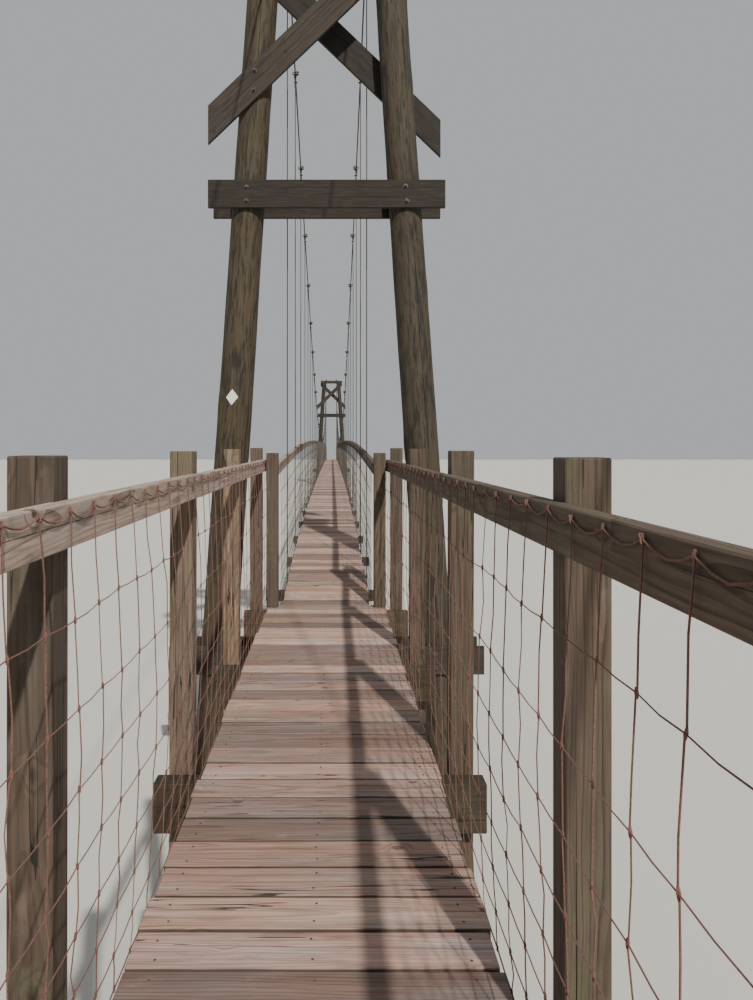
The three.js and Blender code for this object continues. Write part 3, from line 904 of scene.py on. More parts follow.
# %% Corner posts and the hanging rail
HANGING_RAIL_FACE = 360
CORNER_POST_BACK, CORNER_POST_TOP = APPROACH_END + 15.5, 1160
CORNER_POST_Y = HALF_SPAN + CORNER_POST_BACK + POST / 2


def hanging_rail(side, seed):
    rng = random.Random(seed)
    shape = new_shape()
    height = CORNER_POST_TOP - 1
    for y in (-CORNER_POST_Y, CORNER_POST_Y):
        middle = (side * (HANGING_RAIL_FACE + POST / 2), y, DECK + 1 + height / 2)
        # The corner posts are painted dark, a painted shade.
        add_board(shape, height, POST, POST, placed(middle, UP, ACROSS), rng, chamfer=3, checks=3, step=130,
                  look=(PAINTED_SHADE_LIGHTNESS, POST_WARMTH))
    butts = [(a + b) / 2 for a, b in zip(HANGERS[1::2], HANGERS[2::2])]
    joints = [-CORNER_POST_Y, *butts, CORNER_POST_Y]
    x = side * (HANGING_RAIL_FACE + BOARD / 2)
    for low, high in zip(joints, joints[1:]):
        put = following(rail_level, x, low, high, RAIL_DEPTH / 2, side)
        add_board(shape, high - low - 3, RAIL_DEPTH, BOARD, put, rng, chamfer=3, checks=2,
                  step=HANGER_PITCH / 6, look=rail_look(side))
    name = side_name(side)
    nodes = [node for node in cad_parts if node.startswith(f"{name}_hangers_and_rail")]
    nodes += [f"{end}_{name}_end_post_and_rail" for end in ENDS]
    finish_piece(f"{name}_hanging_rail", shape, RAIL_WOOD, nodes)


for side in SIDES:
    hanging_rail(side, 51 + side)

# %% [markdown]
# ## The towers
# Two peeled poles lean towards each other under a cap beam, with a pair of crossbeams below the deck, a
# pair above head height and a pair of braces that cross between the poles. A pole is drawn as rings of
# points. It tapers, it isn't quite round, it has swellings where branches grew, and long drying checks run
# up it: at each check three of a ring's points lie close together, and the middle one is pushed in.

# %% The ring of points round a pole
POLE_SPREAD, POLE_LEAN = 1000, 0.0665
POLE_TOP = DECK + 5620
POLE_FOOT_RADIUS, POLE_TOP_RADIUS = 160, 132
POLE_STEP = 70
POLE_SIDES, POLE_CHECKS, POLE_SWELLINGS = 32, 6, 14
LEAST_BETWEEN = 0.06  # radians between a check and the next plain point


def pole_radius(z):
    return POLE_FOOT_RADIUS + (POLE_TOP_RADIUS - POLE_FOOT_RADIUS) * z / POLE_TOP


def pole_x(z):
    """How far a pole's axis is from the middle of the bridge at a height."""
    return POLE_SPREAD - POLE_LEAN * z


def pole_outline(rng):
    """Angles round a pole, each with its check, if any, and whether it is that check's floor."""
    checks = []
    for number in range(POLE_CHECKS):
        height = rng.uniform(1400, 4200)
        start = rng.uniform(-600, POLE_TOP - height + 500)
        check = {"start": start, "end": start + height}
        check["depth"] = rng.uniform(12, 24)
        check["wander"] = rng.uniform(0, 99)
        checks.append((math.tau * (number + rng.uniform(0.2, 0.8)) / POLE_CHECKS, check))
    spots = [(math.tau * i / POLE_SIDES, None, 0) for i in range(POLE_SIDES)]
    spots = [spot for spot in spots if all(abs(spot[0] - angle) > LEAST_BETWEEN for angle, _ in checks)]
    for angle, check in checks:
        width = rng.uniform(0.012, 0.022)
        spots += [(angle - width, check, 0), (angle, check, 1), (angle + width, check, 0)]
    return sorted(spots, key=lambda spot: spot[0])


# %% Poles
def swelling(rise, at, level, angle, z):
    """How far a swelling lifts the bark at a place. It is longer than it is wide."""
    beside = math.remainder(angle - at, math.tau) * 150
    return rise * math.exp(-(beside * beside + (z - level) ** 2 / 3) / 3200)


def add_pole(shape, place, side, rng):
    grain, tone = wood_layers(shape)
    outline = pole_outline(rng)
    look = (rng.uniform(0.3, 0.6), rng.random(), rng.random(), 0.0)
    offset = rng.uniform(0, 9000)
    swellings = []
    for _ in range(POLE_SWELLINGS):
        at, level = rng.uniform(0, math.tau), rng.uniform(500, POLE_TOP - 300)
        swellings.append((rng.uniform(3, 6), at, level))
    phase = rng.uniform(0, 100)

    def settle(ring, z, at_end):
        sway = Vector([noise.noise(Vector((z / 1900, phase, axis))) for axis in (1, 2)]) * 7
        sway *= min(1.0, z / 700, (POLE_TOP - z) / 700)
        shrink = 2 + (3 if z == 0 else 4) * at_end
        for point, (angle, check, is_floor) in zip(ring, outline):
            radius = pole_radius(z) - shrink
            round_about = Vector((math.cos(angle) * 1.3, math.sin(angle) * 1.3, z / 420 + phase))
            radius += 2.5 * noise.noise(round_about)
            for values in swellings:
                radius += swelling(*values, angle, z)
            if is_floor:
                radius -= check_depth(check, z)
            drift = 0.05 * noise.noise(Vector((z / 500, check["wander"], 0))) if check else 0.0
            x, y = radius * math.cos(angle + drift), radius * math.sin(angle + drift)
            point[grain] = Vector((z + offset, x, y))
            point[tone] = look
            point.co = place @ Vector((x + sway.x - side * POLE_LEAN * z, y + sway.y, z))

    steps = round(POLE_TOP / POLE_STEP)
    add_rings(shape, len(outline), [POLE_TOP * i / steps for i in range(steps + 1)], settle)


def round_pole(end, side, seed):
    shape = new_shape()
    place = ENDS[end] @ Matrix.Translation((side * POLE_SPREAD, 0, 0))
    add_pole(shape, place, side, random.Random(seed))
    name = corner_name(end, side)
    finish_piece(f"{name}_round_pole", shape, POLE_WOOD, [f"{name}_pole"], 40)


for seed, (end, side) in enumerate(CORNERS, 61):
    round_pole(end, side, seed)

# %% [markdown]
# The crossbeams and braces are 2 x 10 boards, bolted to the front and the back of the poles. The braces are
# cut plumb at their ends, so each is made too long and then cut by two planes.

# %% Crossbeams, braces and cap beam
BEAMS = {
    "upper_crossbeam": {"length": 2000, "bottom": DECK + 3220, "y": 134},
    "lower_crossbeam": {"length": 2650, "bottom": DECK - 710, "y": 146},
}
BEAM_DEPTH = 235
BRACE = {"low": -1000, "high": 760, "y": 127, "middle": DECK + 4880, "slope": 0.96}
CAP = {"length": 1520, "width": 235, "depth": 190}
FACES = {"front": -1, "back": 1}


def cut_end(shape, at, outward):
    """Cuts off what lies beyond a plane and closes the cut."""
    everything = shape.verts[:] + shape.edges[:] + shape.faces[:]
    cut = bmesh.ops.bisect_plane(shape, geom=everything, plane_co=at, plane_no=outward, clear_outer=True)
    rim = [item for item in cut["geom_cut"] if isinstance(item, bmesh.types.BMEdge)]
    bmesh.ops.edgeloop_fill(shape, edges=rim)


def crossbeam(end, name, face, rng):
    beam = BEAMS[name]
    shape = new_shape()
    at = (0, FACES[face] * (beam["y"] + GAP + BOARD / 2), beam["bottom"] + BEAM_DEPTH / 2)
    place = ENDS[end] @ placed(at, ACROSS, UP)
    add_board(shape, beam["length"], BEAM_DEPTH, BOARD, place, rng, chamfer=3, checks=3, step=110)
    finish_piece(f"{end}_{name}_board_{face}", shape, BEAM_WOOD, [f"{end}_{name}_{face}"])


def brace(end, face, rng):
    """A brace is made in front of the poles. The back one is the same, turned half round."""
    shape = new_shape()
    middle_x = (BRACE["low"] + BRACE["high"]) / 2
    middle_z = BRACE["middle"] + BRACE["slope"] * middle_x
    along = Vector((1, 0, BRACE["slope"])).normalized()
    at = (middle_x, -(BRACE["y"] + GAP + BOARD / 2), middle_z)
    place = placed(at, along, (-along.z, 0, along.x))
    length = (BRACE["high"] - BRACE["low"]) * math.hypot(1, BRACE["slope"]) + 2 * BEAM_DEPTH
    add_board(shape, length, BEAM_DEPTH, BOARD, place, rng, chamfer=3, checks=3, step=110)
    cut_end(shape, (BRACE["low"], 0, 0), (-1, 0, 0))
    cut_end(shape, (BRACE["high"], 0, 0), (1, 0, 0))
    turn = Matrix.Rotation(math.pi if face == "back" else 0, 4, "Z")
    bmesh.ops.transform(shape, matrix=ENDS[end] @ turn, verts=shape.verts)
    finish_piece(f"{end}_brace_board_{face}", shape, BEAM_WOOD, [f"{end}_brace_{face}"])


def cap_beam(end, rng):
    shape = new_shape()
    place = ENDS[end] @ placed((0, 0, POLE_TOP + GAP + CAP["depth"] / 2), ACROSS, ALONG)
    add_board(shape, CAP["length"], CAP["width"], CAP["depth"], place, rng, chamfer=5, checks=5, step=110)
    finish_piece(f"{end}_cap_timber", shape, BEAM_WOOD, [f"{end}_cap_beam"])


for seed, end in enumerate(ENDS, 71):
    rng = random.Random(seed)
    for face in FACES:
        for name in BEAMS:
            crossbeam(end, name, face, rng)
        brace(end, face, rng)
    cap_beam(end, rng)

# %% [markdown]
# ## Bolts
# Two bolts, one above the other, go through each crossing of a pole with a beam or brace. Each has a round
# washer, a hexagonal nut and the bolt's own end.

# %% Bolts through the timber
BEAM_BOLT_SPREAD, BRACE_BOLT_SPREAD = 58, 78


def add_cylinder(shape, at, axis, radius, length, segments):
    """A cylinder that stands on a point, along an axis."""
    turn = Vector(axis).to_track_quat("Z", "Y").to_matrix().to_4x4()
    middle = Matrix.Translation(Vector(at) + Vector(axis).normalized() * length / 2)
    bmesh.ops.create_cone(shape, cap_ends=True, segments=segments, radius1=radius, radius2=radius,
                          depth=length, matrix=middle @ turn)


def add_bolt(shape, at, axis, size=14):
    """The washer, nut and end of a bolt that comes out of a face at a point."""
    at, axis = Vector(at), Vector(axis).normalized()
    washer, nut = 0.2 * size, 0.8 * size
    add_cylinder(shape, at - axis, axis, 1.45 * size, washer + 1, 18)
    add_cylinder(shape, at + axis * washer, axis, 0.92 * size, nut, 6)
    add_cylinder(shape, at + axis * (washer + nut), axis, 0.5 * size, 0.55 * size, 10)


def beam_bolts(shape, beam, face, rng):
    middle = beam["bottom"] + BEAM_DEPTH / 2
    y = face * (beam["y"] + GAP + BOARD)
    for side in SIDES:
        for step in SIDES:
            x = side * pole_x(middle) + rng.uniform(-22, 12)
            z = middle + step * BEAM_BOLT_SPREAD + rng.uniform(-6, 6)
            add_bolt(shape, (x, y, z), (0, face, 0))


def brace_bolts(shape, face, rng):
    slope = -face * BRACE["slope"]
    y = face * (BRACE["y"] + GAP + BOARD)
    for side in SIDES:
        crossing = (BRACE["middle"] + slope * side * POLE_SPREAD) / (1 + slope * side * POLE_LEAN)
        for step in SIDES:
            aside = rng.uniform(-14, 14)
            z = crossing + slope * aside + step * BRACE_BOLT_SPREAD
            add_bolt(shape, (side * pole_x(crossing) + aside, y, z), (0, face, 0))


for seed, end in enumerate(ENDS, 81):
    rng = random.Random(seed)
    shape = bmesh.new()
    for face in FACES.values():
        for beam in BEAMS.values():
            beam_bolts(shape, beam, face, rng)
        brace_bolts(shape, face, rng)
    move_to_end(shape, end)
    finish_piece(f"{end}_tower_bolts", shape, BOLT_STEEL, (), 35)

# %% [markdown]
# ## Wires and ropes as curves
# A wire is a line of points with a round section, so it is drawn as a curve. Each curve is turned into a
# mesh at once, in real millimetres, and joined to the piece that it belongs to. A point's radius and its
# twist can vary along the line.

# %% Curves to mesh
def add_tubes(shape, routes, radius, rounding=0, profile=None):
    """Adds a tube along each route, a list of points or of points with a radius factor and a twist."""
    curve = bpy.data.curves.new("route", "CURVE")
    curve.dimensions = "3D"
    curve.bevel_depth = radius
    curve.bevel_resolution = rounding
    curve.use_fill_caps = True
    if profile:
        curve.bevel_mode = "OBJECT"
        curve.bevel_object = profile
    for route in routes:
        points = [item if isinstance(item, tuple) else (item, 1.0, 0.0) for item in route]
        spline = curve.splines.new("POLY")
        spline.points.add(len(points) - 1)
        spline.points.foreach_set("co", [value for at, _, _ in points for value in (*at, 1.0)])
        spline.points.foreach_set("radius", [factor for _, factor, _ in points])
        spline.points.foreach_set("tilt", [twist for _, _, twist in points])
    carrier = bpy.data.objects.new("route", curve)
    bpy.context.scene.collection.objects.link(carrier)
    graph = bpy.context.evaluated_depsgraph_get()
    mesh = bpy.data.meshes.new_from_object(carrier.evaluated_get(graph))
    shape.from_mesh(mesh)
    bpy.data.objects.remove(carrier)
    bpy.data.curves.remove(curve)
    bpy.data.meshes.remove(mesh)


# %% [markdown]
# ## Fence wire
# The sides are woven stock fence. A stay crosses the line wires every 152 mm and is wrapped round each in a
# small lump of a knot. The line wires are close together at the bottom and wide apart at the top. Nothing in
# it is straight: each stay is a chain of short wires that jog a little at the knots, the line wires are
# crimped, the top wire zigzags under its staples, and the whole net bulges.

# %% Where the wires cross
STAY_PITCH = 152
ROW_HEIGHTS = [0, 89, 191, 305, 432, 572, 724, 902, 1105]
TOP_ROW = len(ROW_HEIGHTS) - 1


def fence_crossings(y_from, y_to, x, top, bottom, loose, rng):
    """A column of crossings for each stay, from the bottom wire up, between two levels that depend on y."""
    count = round((y_to - y_from) / STAY_PITCH)
    side = math.copysign(1, x)
    phase = rng.uniform(0, 100)
    crossings = []
    for i in range(count + 1):
        y_stay = y_from + (y_to - y_from) * i / count
        lean = rng.gauss(0, 6 * loose)
        column = []
        for height in ROW_HEIGHTS:
            share = height / ROW_HEIGHTS[-1]
            y = y_stay + lean * (1 - share) + rng.gauss(0, 3 * loose)
            y = min(max(y, y_from), y_to)
            belly = math.sin(math.pi * share)
            slack = noise.noise(Vector((y / 500, share * 2, phase + 9))) * 16 * loose * belly
            z = bottom(y) + 4 + (top(y) - bottom(y) - 6) * share + slack + rng.gauss(0, 2.5 * loose)
            fullness = 0.6 + noise.noise(Vector((y / 700, share, phase)))
            bulge = max(0, belly * 18 * loose * fullness)
            column.append(Vector((x - side * bulge, y, min(z, top(y)))))
        crossings.append(column)
    return crossings


# %% The wires between them
WIRE = 1.5
EDGE_WIRE = 1.25  # the top and the bottom wire are this much thicker
TOP_DROOP, DROOP = 15, 3
STAY_JOG = 2.2


def line_wires(crossings, loose, close_up, rng):
    """The wires along the fence. The top one droops between its staples."""
    routes = []
    for row in range(len(ROW_HEIGHTS)):
        factor = EDGE_WIRE if row in (0, TOP_ROW) else 1.0
        droop = TOP_DROOP if row == TOP_ROW else DROOP
        steps = 4 if row == TOP_ROW else 2
        shares = [i / steps for i in range(1, steps)] if close_up else []
        route = [(crossings[0][row], factor, 0.0)]
        for before, after in zip(crossings, crossings[1:]):
            fall = droop * rng.uniform(0.5, 1.2) * loose
            for share in shares:
                spot = before[row].lerp(after[row], share)
                route.append((spot - Vector((0, 0, fall * math.sin(math.pi * share))), factor, 0.0))
            route.append((after[row], factor, 0.0))
        routes.append(route)
    return routes


def stay_wires(crossings, loose, close_up, rng):
    """The short wires up the fence, each a little beside the one below it and slightly bowed."""
    routes = []
    for column in crossings:
        jog = rng.choice(SIDES) * STAY_JOG
        for low, high in zip(column, column[1:]):
            jog = -jog
            route = [low + Vector((0, jog, -2)), high + Vector((0, jog, 2))]
            if close_up:
                bow = Vector((rng.gauss(0, 2), rng.gauss(0, 5), 0)) * loose
                route.insert(1, low.lerp(high, rng.uniform(0.35, 0.65)) + bow)
            routes.append(route)
    return routes


# %% Knots and staples
KNOT_LENGTH, KNOT_SIZE, KNOT_END = 15, 2.2, 0.6
STAPLE_DEPTH, STAPLE_STANDS_OUT = 9, 0.35


def knot_wraps(crossings, rng):
    """The lump where a stay is wrapped round a line wire."""
    routes = []
    ends = KNOT_SIZE * KNOT_END
    for column in crossings:
        for knot in column:
            half = Vector((0, rng.uniform(-2.5, 2.5), KNOT_LENGTH / 2))
            routes.append([(knot - half, ends, 0.0), (knot, KNOT_SIZE, 0.0), (knot + half, ends, 0.0)])
    return routes


def staples(crossings, side):
    """A staple over every second knot of the top wire, driven into the rail."""
    foot, rise = Vector((side * STAPLE_DEPTH, 0, 0)), Vector((0, 4, 6))
    over = foot * -STAPLE_STANDS_OUT
    routes = []
    for column in crossings[1::2]:
        knot = column[TOP_ROW]
        routes.append([knot + rise + foot, knot + rise + over, knot - rise + over, knot - rise + foot])
    return routes


def add_fence(shape, crossings, side, loose, close_up, rng):
    routes = line_wires(crossings, loose, close_up, rng) + stay_wires(crossings, loose, close_up, rng)
    routes += knot_wraps(crossings, rng) + staples(crossings, side)
    add_tubes(shape, routes, WIRE)


# %% Netting on the approaches and the span
NET_BELOW_RAIL, NET_BELOW_DECK, NET_INSET = 12, 36, 6
APPROACH_NET_X, SPAN_NET_X = 456, 349.5
APPROACH_LOOSE, SPAN_LOOSE = 1.2, 0.6


def approach_fence(end, side, seed):
    rng = random.Random(seed)
    shape = bmesh.new()
    top, bottom = DECK + RAIL_TOP - NET_BELOW_RAIL, DECK - NET_BELOW_DECK
    low, high = APPROACH_LOW + NET_INSET, -APPROACH_END + POST - NET_INSET
    x = side * APPROACH_NET_X
    crossings = fence_crossings(low, high, x, lambda y: top, lambda y: bottom, APPROACH_LOOSE, rng)
    add_fence(shape, crossings, side, APPROACH_LOOSE, True, rng)
    move_to_end(shape, end)
    name = corner_name(end, side)
    finish_piece(f"{name}_fence_wire", shape, NET_WIRE, [f"{name}_netting"], 60)


def span_fence(side, seed):
    def top(y):
        return rail_level(y) - NET_BELOW_RAIL

    def bottom(y):
        return deck_level(y) - NET_BELOW_DECK

    rng = random.Random(seed)
    shape = bmesh.new()
    reach = DECK_END - NET_INSET
    crossings = fence_crossings(-reach, reach, side * SPAN_NET_X, top, bottom, SPAN_LOOSE, rng)
    add_fence(shape, crossings, side, SPAN_LOOSE, False, rng)
    name = side_name(side)
    finish_piece(f"{name}_span_fence_wire", shape, SPAN_WIRE, [f"{name}_span_netting"], 60)


for seed, (end, side) in enumerate(CORNERS, 91):
    approach_fence(end, side, seed)
for side in SIDES:
    span_fence(side, 97 + side)

# %% [markdown]
# ## Main cables
# Each cable is a 19 mm wire rope of six strands. It runs from an anchor over both saddles to the other
# anchor: straight behind the towers, an arc over each saddle and a parabola between them. Its section is a
# ring of six lobes that turns once in a lay of 150 mm, which draws the strands.

# %% The cable's line
CABLE_X = 358
CABLE_RADIUS = 8.5
CABLE_TOP, CABLE_LOW = DECK + 5910, DECK + 1420
SADDLE_BEND = 200
ANCHOR_RUN, ANCHOR_X, ANCHOR_EYE = 11280, 1200, 300
SPAN_ANGLE = math.atan(2 * (CABLE_TOP - CABLE_LOW) / HALF_SPAN)
STAY_ANGLE = math.atan((CABLE_TOP - ANCHOR_EYE) / ANCHOR_RUN)


def on_saddle(angle):
    return SADDLE_BEND * math.sin(angle), CABLE_TOP - SADDLE_BEND * (1 - math.cos(angle))


LEAVE_Y, LEAVE_HEIGHT = on_saddle(SPAN_ANGLE)
CABLE_CURVE = (LEAVE_HEIGHT - CABLE_LOW) / (HALF_SPAN - LEAVE_Y) ** 2


def cable_height(y):
    return CABLE_LOW + CABLE_CURVE * y * y


def stay_line(side):
    """A cable's foot on its anchor, the way up from there to the saddle and the one over it, at an end."""
    y, z = on_saddle(-STAY_ANGLE)
    foot = Vector((side * ANCHOR_X, -ANCHOR_RUN, ANCHOR_EYE))
    up = (Vector((side * CABLE_X, y, z)) - foot).normalized()
    over = (Vector(UP) - up * up.z).normalized()
    return foot, up, over


# %% Points along a cable
CABLE_START = 262  # from the anchor, where the cable comes away from its own loop
SADDLE_STEPS, SPAN_STEPS = 12, 96
THIMBLE = {"at": 150, "radius": 28, "groove": 18}
TAIL_START, TAIL_END, TAIL_BESIDE = 240, 700, 18.5


def arc(middle, first, second, radius, steps, start=0.0, sweep=math.pi):
    """Points round a middle. The angle is counted from the first direction toward the second."""
    angles = [start + sweep * i / steps for i in range(steps + 1)]
    return [middle + first * (radius * math.cos(a)) + second * (radius * math.sin(a)) for a in angles]


def cable_corners(side):
    """Points along a cable, close enough together that straight lines between them look round."""
    foot, up, _ = stay_line(side)
    tower = Vector((0, HALF_SPAN, 0))
    near = [foot + up * CABLE_START - tower]
    for i in range(SADDLE_STEPS + 1):
        angle = -STAY_ANGLE + (SPAN_ANGLE + STAY_ANGLE) * i / SADDLE_STEPS
        near.append(Vector((side * CABLE_X, *on_saddle(angle))) - tower)
    middle = []
    for i in range(1, SPAN_STEPS):
        y = (HALF_SPAN - LEAVE_Y) * (2 * i / SPAN_STEPS - 1)
        middle.append(Vector((side * CABLE_X, y, cable_height(y))))
    far = [Vector((point.x, -point.y, point.z)) for point in reversed(near)]
    return near + middle + far


def cable_end(side):
    """The cable's last stretch: round a thimble and back beside itself, in an end's frame."""
    foot, up, over = stay_line(side)
    turn = arc(foot + up * THIMBLE["at"], over, -up, THIMBLE["radius"], 10)
    tail = [foot + up * distance - over * TAIL_BESIDE for distance in (TAIL_START, TAIL_END)]
    return [foot + up * (CABLE_START + 1), foot + up * 235, *turn, *tail]


# %% A rope with its strands
LAY, POINTS_A_LAY, STRANDS = 150, 6, 6
STRAND_VALLEY = 0.82


def evenly(corners, step):
    """Points at even steps along a line of corners, each with its distance along it."""
    points, travelled, due = [], 0.0, 0.0
    for a, b in zip(corners, corners[1:]):
        room = (b - a).length
        while due <= travelled + room:
            points.append((a.lerp(b, (due - travelled) / room), due))
            due += step
        travelled += room
    return points + [(corners[-1], travelled)]


def rope_profile():
    """A closed section with a lobe for each strand."""
    curve = bpy.data.curves.new("rope_section", "CURVE")
    spline = curve.splines.new("POLY")
    spline.points.add(2 * STRANDS - 1)
    for i, point in enumerate(spline.points):
        reach = CABLE_RADIUS * (1.0 if i % 2 == 0 else STRAND_VALLEY)
        turn = math.pi * i / STRANDS
        point.co = (reach * math.cos(turn), reach * math.sin(turn), 0, 1)
    spline.use_cyclic_u = True
    section = bpy.data.objects.new("rope_section", curve)
    bpy.context.scene.collection.objects.link(section)
    return section


def add_rope(shape, corners):
    section = rope_profile()
    route = [(point, 1.0, math.tau * along / LAY) for point, along in evenly(corners, LAY / POINTS_A_LAY)]
    add_tubes(shape, [route], 1.0, profile=section)
    bpy.data.objects.remove(section)


def main_cable(side):
    shape = bmesh.new()
    add_rope(shape, cable_corners(side))
    for end in ENDS:
        ending = bmesh.new()
        add_rope(ending, cable_end(side if end == "near" else -side))
        move_to_end(ending, end)
        mesh = bpy.data.meshes.new("ending")
        ending.to_mesh(mesh)
        ending.free()
        shape.from_mesh(mesh)
        bpy.data.meshes.remove(mesh)
    name = side_name(side)
    nodes = [f"{end}_{name}_main_cable" for end in ENDS]
    finish_piece(f"{name}_wire_rope", shape, ROPE_STEEL, nodes, 45)


for side in SIDES:
    main_cable(side)

# %% [markdown]
# ## Hangers and clips
# Every hanger is a 9 mm wire that loops over the cable and is closed below it by a clip, whose two bolt ends
# point in towards the deck. At its foot it goes through a needle beam to a plate washer and a nut. Larger
# clips of the same kind close the cables' own ends at the anchors.

# %% Clips
def ease_edges(shape, edges, offset, segments=1):
    bmesh.ops.bevel(shape, geom=edges, offset=offset, offset_type="OFFSET", segments=segments, profile=0.5,
                    affect="EDGES", material=-1)


def add_block(shape, place, size, ease):
    """A box round a place, with its edges eased."""
    made = bmesh.ops.create_cube(shape, size=1, matrix=place @ Matrix.Diagonal((*size, 1)))
    ease_edges(shape, list({edge for point in made["verts"] for edge in point.link_edges}), ease)


def add_clip(shape, routes, at, along, toward, rope):
    """A clip round two ropes that lie side by side. Its bolt ends point toward a side."""
    along, toward = Vector(along).normalized(), Vector(toward).normalized()
    across = along.cross(toward)
    leg = 0.5 * rope + 1.2
    half = rope + leg
    tip = toward * (4.6 * rope + 4)
    bend = arc(at - toward * rope, across, -toward, half, 6)
    bolt = [at + tip + across * half, *bend, at + tip - across * half]
    routes.append([(point, leg, 0.0) for point in bolt])
    saddle = placed(at + toward * 2.6 * rope, across, along)
    add_block(shape, saddle, (2 * half + 3 * leg, 3.2 * rope, 1.3 * rope), 0.25 * rope)
    for hand in SIDES:
        nut = at + toward * 3.25 * rope + across * half * hand
        add_cylinder(shape, nut, toward, 1.9 * leg, 1.5 * leg, 6)


# %% Hangers
HANGER_RADIUS = 4.5
CLIP_BELOW_CABLE = 62
CLIP_BESIDE_HANGER = 24
LOOP_START, LOOP_SWEEP = math.radians(-35), math.radians(250)
PLATE = (60, 60, 6)


def hanger_wire(x, y, foot, cable, lower):
    """Up from the needle beam, round the cable and down again beside itself, through the clip."""
    loop = arc(Vector((x, y, cable)), Vector(ACROSS), Vector(UP), CABLE_RADIUS + HANGER_RADIUS, 10,
               LOOP_START, LOOP_SWEEP)
    rising = [(x, y, foot - 30), (x, y, lower - 40), (x + HANGER_RADIUS, y, lower)]
    falling = [(x - HANGER_RADIUS, y, lower), (x - HANGER_RADIUS, y, lower - 70)]
    return [Vector(at) for at in rising] + loop + [Vector(at) for at in falling]


def hangers(side, seed):
    rng = random.Random(seed)
    shape = bmesh.new()
    wires, clip_wires = [], []
    x, inward = side * CABLE_X, (-side, 0, 0)
    for y in HANGERS:
        cable = cable_height(y)
        foot = deck_level(y) - NEEDLE_BELOW - POST
        lower = cable - CLIP_BELOW_CABLE - rng.uniform(0, 8)
        wires.append(hanger_wire(x, y, foot, cable, lower))
        add_clip(shape, clip_wires, Vector((x, y, lower - 14)), UP, inward, HANGER_RADIUS)
        slope = math.atan(2 * CABLE_CURVE * y)
        along = Vector((0, math.cos(slope), math.sin(slope)))
        beside = Vector((x, y, cable)) + along * math.copysign(CLIP_BESIDE_HANGER, y)
        add_clip(shape, clip_wires, beside + Vector((side * 4, 0, 0)), along, inward, CABLE_RADIUS * 1.1)
        plate = Matrix.Translation((x, y, foot - PLATE[2] / 2)) @ Matrix.Diagonal((*PLATE, 1))
        bmesh.ops.create_cube(shape, size=1, matrix=plate)
        add_cylinder(shape, (x, y, foot - PLATE[2]), (0, 0, -1), 11, 9, 6)
    add_tubes(shape, wires, HANGER_RADIUS, 1)
    add_tubes(shape, clip_wires, 1.0)
    finish_piece(f"{side_name(side)}_hangers", shape, ROPE_STEEL, (), 45)


for side in SIDES:
    hangers(side, 103 + side)

# %% [markdown]
# At an anchor the cable goes round a thimble, a grooved steel eye that keeps it from being crushed, and
# three clips hold its tail beside it. The thimble hangs on the ring of an eye bolt, cast into the block and
# tightened on a washer.

# %% The cables' fastenings
CLIPS_AT = (300, 430, 560)
EYE = {"at": 118, "radius": 28, "rod": 9}


def cable_fastenings(end, side):
    foot, up, over = stay_line(side)
    out = up.cross(over)
    shape = bmesh.new()
    routes = []
    for distance in CLIPS_AT:
        add_clip(shape, routes, foot + up * distance - over * 9, up, over, CABLE_RADIUS)
    add_tubes(shape, routes, 1.0)
    ring = arc(foot + up * EYE["at"], up, out, EYE["radius"], 20, sweep=math.tau)
    shank = [foot - up * 4, foot + up * 94]
    add_tubes(shape, [ring, shank], EYE["rod"], 1)
    groove = arc(foot + up * THIMBLE["at"], over, -up, THIMBLE["groove"], 10)
    lips = [foot + up * 215 + over * 3, foot + up * 215 - over * 9]
    add_tubes(shape, [[lips[0], *groove, lips[1]]], 4, 1)
    add_cylinder(shape, foot - up * 1, up, 34, 9, 20)
    add_cylinder(shape, foot + up * 8, up, 19, 14, 6)
    move_to_end(shape, end)
    finish_piece(f"{corner_name(end, side)}_cable_fastenings", shape, BOLT_STEEL, (), 40)


for end, side in CORNERS:
    cable_fastenings(end, side)

# %% [markdown]
# ## Anchors and saddles
# An anchor is a block of cast concrete with eased edges, whose sloping face looks up along its cable. The
# saddles are the frame's own, with a rusted finish, and each gets a base plate with four lag screws.

# %% Anchor blocks
ANCHOR = {"width": 600, "length": 700, "height": 450}
ANCHOR_EASE = 14


def anchor_block(end, side):
    front = -ANCHOR_RUN + math.tan(STAY_ANGLE) * (ANCHOR["height"] - ANCHOR_EYE)
    shape = bmesh.new()
    middle = Matrix.Translation((side * ANCHOR_X, front - ANCHOR["length"] / 2, ANCHOR["height"] / 2))
    size = Matrix.Diagonal((ANCHOR["width"], ANCHOR["length"], ANCHOR["height"], 1))
    bmesh.ops.create_cube(shape, size=1, matrix=middle @ size)
    facing = Vector((0, math.cos(STAY_ANGLE), math.sin(STAY_ANGLE)))
    cut_end(shape, (side * ANCHOR_X, -ANCHOR_RUN, ANCHOR_EYE), facing)
    ease_edges(shape, shape.edges[:], ANCHOR_EASE, 2)
    move_to_end(shape, end)
    name = corner_name(end, side)
    finish_piece(f"{name}_anchor_block", shape, CONCRETE, [f"{name}_anchor"], 40)


for end, side in CORNERS:
    anchor_block(end, side)

# %% Saddles and their plates
SADDLE_PLATE = (120, 226, 8)
SCREW_X, SCREW_Y, SCREW_SIZE = 42, 92, 12


def saddle_plates(end):
    base = POLE_TOP + CAP["depth"] + GAP
    shape = bmesh.new()
    for side in SIDES:
        add_block(shape, Matrix.Translation((side * CABLE_X, 0, base + 5)), SADDLE_PLATE, 1.5)
        for x in (-SCREW_X, SCREW_X):
            for y in (-SCREW_Y, SCREW_Y):
                add_bolt(shape, (side * CABLE_X + x, y, base + 9), UP, SCREW_SIZE)
    move_to_end(shape, end)
    finish_piece(f"{end}_saddle_plates", shape, SADDLE_STEEL, (), 40)


for end in ENDS:
    saddle_plates(end)
for name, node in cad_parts.items():
    if name.endswith("_saddle"):
        node.material_slots[0].material = SADDLE_STEEL

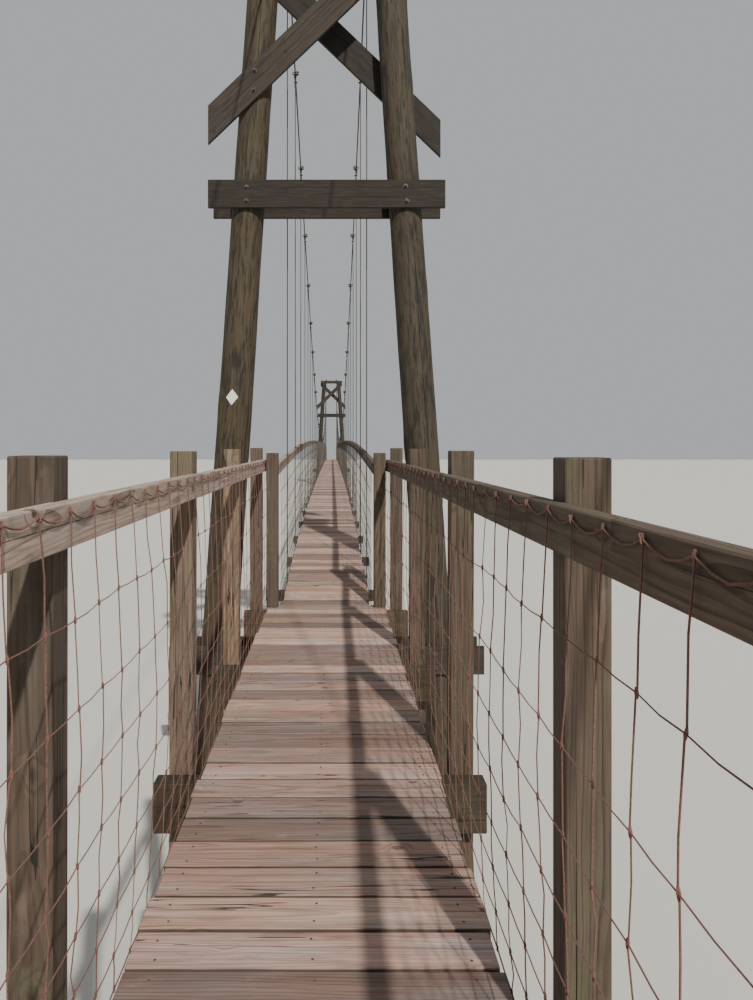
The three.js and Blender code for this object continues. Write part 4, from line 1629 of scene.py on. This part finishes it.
# %% [markdown]
# ## Trail blaze
# A small white diamond of painted sheet is nailed to the near left pole, on the side that faces the
# approach. It is a grid turned by an eighth, wrapped round the pole and given a thickness.

# %% The diamond on the near left pole
BLAZE_WIDTH, BLAZE_HEIGHT, BLAZE_LEVEL = 105, 135, DECK + 1625
BLAZE_TURN = 0.1
BLAZE_SHEET = 1.4


def trail_blaze():
    shape = bmesh.new()
    bmesh.ops.create_grid(shape, x_segments=6, y_segments=6, size=0.5)
    radius = pole_radius(BLAZE_LEVEL) + 3
    for point in shape.verts:
        a, b = point.co.x, point.co.y
        turn = (a - b) * BLAZE_WIDTH / 2 / radius - BLAZE_TURN
        z = BLAZE_LEVEL + (a + b) * BLAZE_HEIGHT / 2
        point.co = (-pole_x(z) + radius * math.sin(turn), -radius * math.cos(turn), z)
    bmesh.ops.solidify(shape, geom=shape.faces[:], thickness=BLAZE_SHEET)
    for hand in SIDES:
        z = BLAZE_LEVEL + hand * BLAZE_HEIGHT * 0.34
        nail = (-pole_x(z) - radius * math.sin(BLAZE_TURN), -radius * math.cos(BLAZE_TURN) + 2, z)
        add_cylinder(shape, nail, (0, -1, 0), 4, 5, 8)
    move_to_end(shape, "near")
    finish_piece("trail_blaze", shape, WHITE_PAINT, (), 40)


trail_blaze()

# %% [markdown]
# ## Floor and light
# A pale plain floor, a pale sky that fills the shadows, and a sun from behind the camera on its right. The
# photo's sun stands there: the right rail's shadow lies just right of the deck's middle, and the shadows of
# the right posts run away from the camera.

# %% Floor
def stage():
    shape = bmesh.new()
    bmesh.ops.create_grid(shape, x_segments=1, y_segments=1, size=60)
    mesh = bpy.data.meshes.new("floor")
    shape.to_mesh(mesh)
    shape.free()
    material, tree = new_material("pale_floor")
    shader = add(tree, "BsdfPrincipled", {"Base Color": linear("#c4c2bb"), "Roughness": 0.9})
    add(tree, "OutputMaterial", {"Surface": shader})
    mesh.materials.append(material)
    floor = bpy.data.objects.new("floor", mesh)
    bpy.context.scene.collection.objects.link(floor)


stage()

# %% Sky and sun
SKY_COLOUR, SKY_STRENGTH = "#dfe3e6", 0.6
SUN_COLOUR, SUN_STRENGTH = (1.0, 0.95, 0.88), 4.8
SUN_SIZE = math.radians(1.2)
TOWARD_SUN = Vector((0.31, -1.14, 1.0))


def light():
    world = bpy.data.worlds.new("pale_sky")
    world.use_nodes = True
    world.node_tree.nodes.clear()
    inputs = {"Color": linear(SKY_COLOUR), "Strength": SKY_STRENGTH}
    sky = add(world.node_tree, "Background", inputs)
    add(world.node_tree, "OutputWorld", {"Surface": sky})
    bpy.context.scene.world = world
    sun_data = bpy.data.lights.new("soft_sun", "SUN")
    sun_data.energy = SUN_STRENGTH
    sun_data.angle = SUN_SIZE
    sun_data.color = SUN_COLOUR
    sun = bpy.data.objects.new("soft_sun", sun_data)
    sun.rotation_euler = TOWARD_SUN.to_track_quat("Z", "Y").to_euler()
    bpy.context.scene.collection.objects.link(sun)


light()
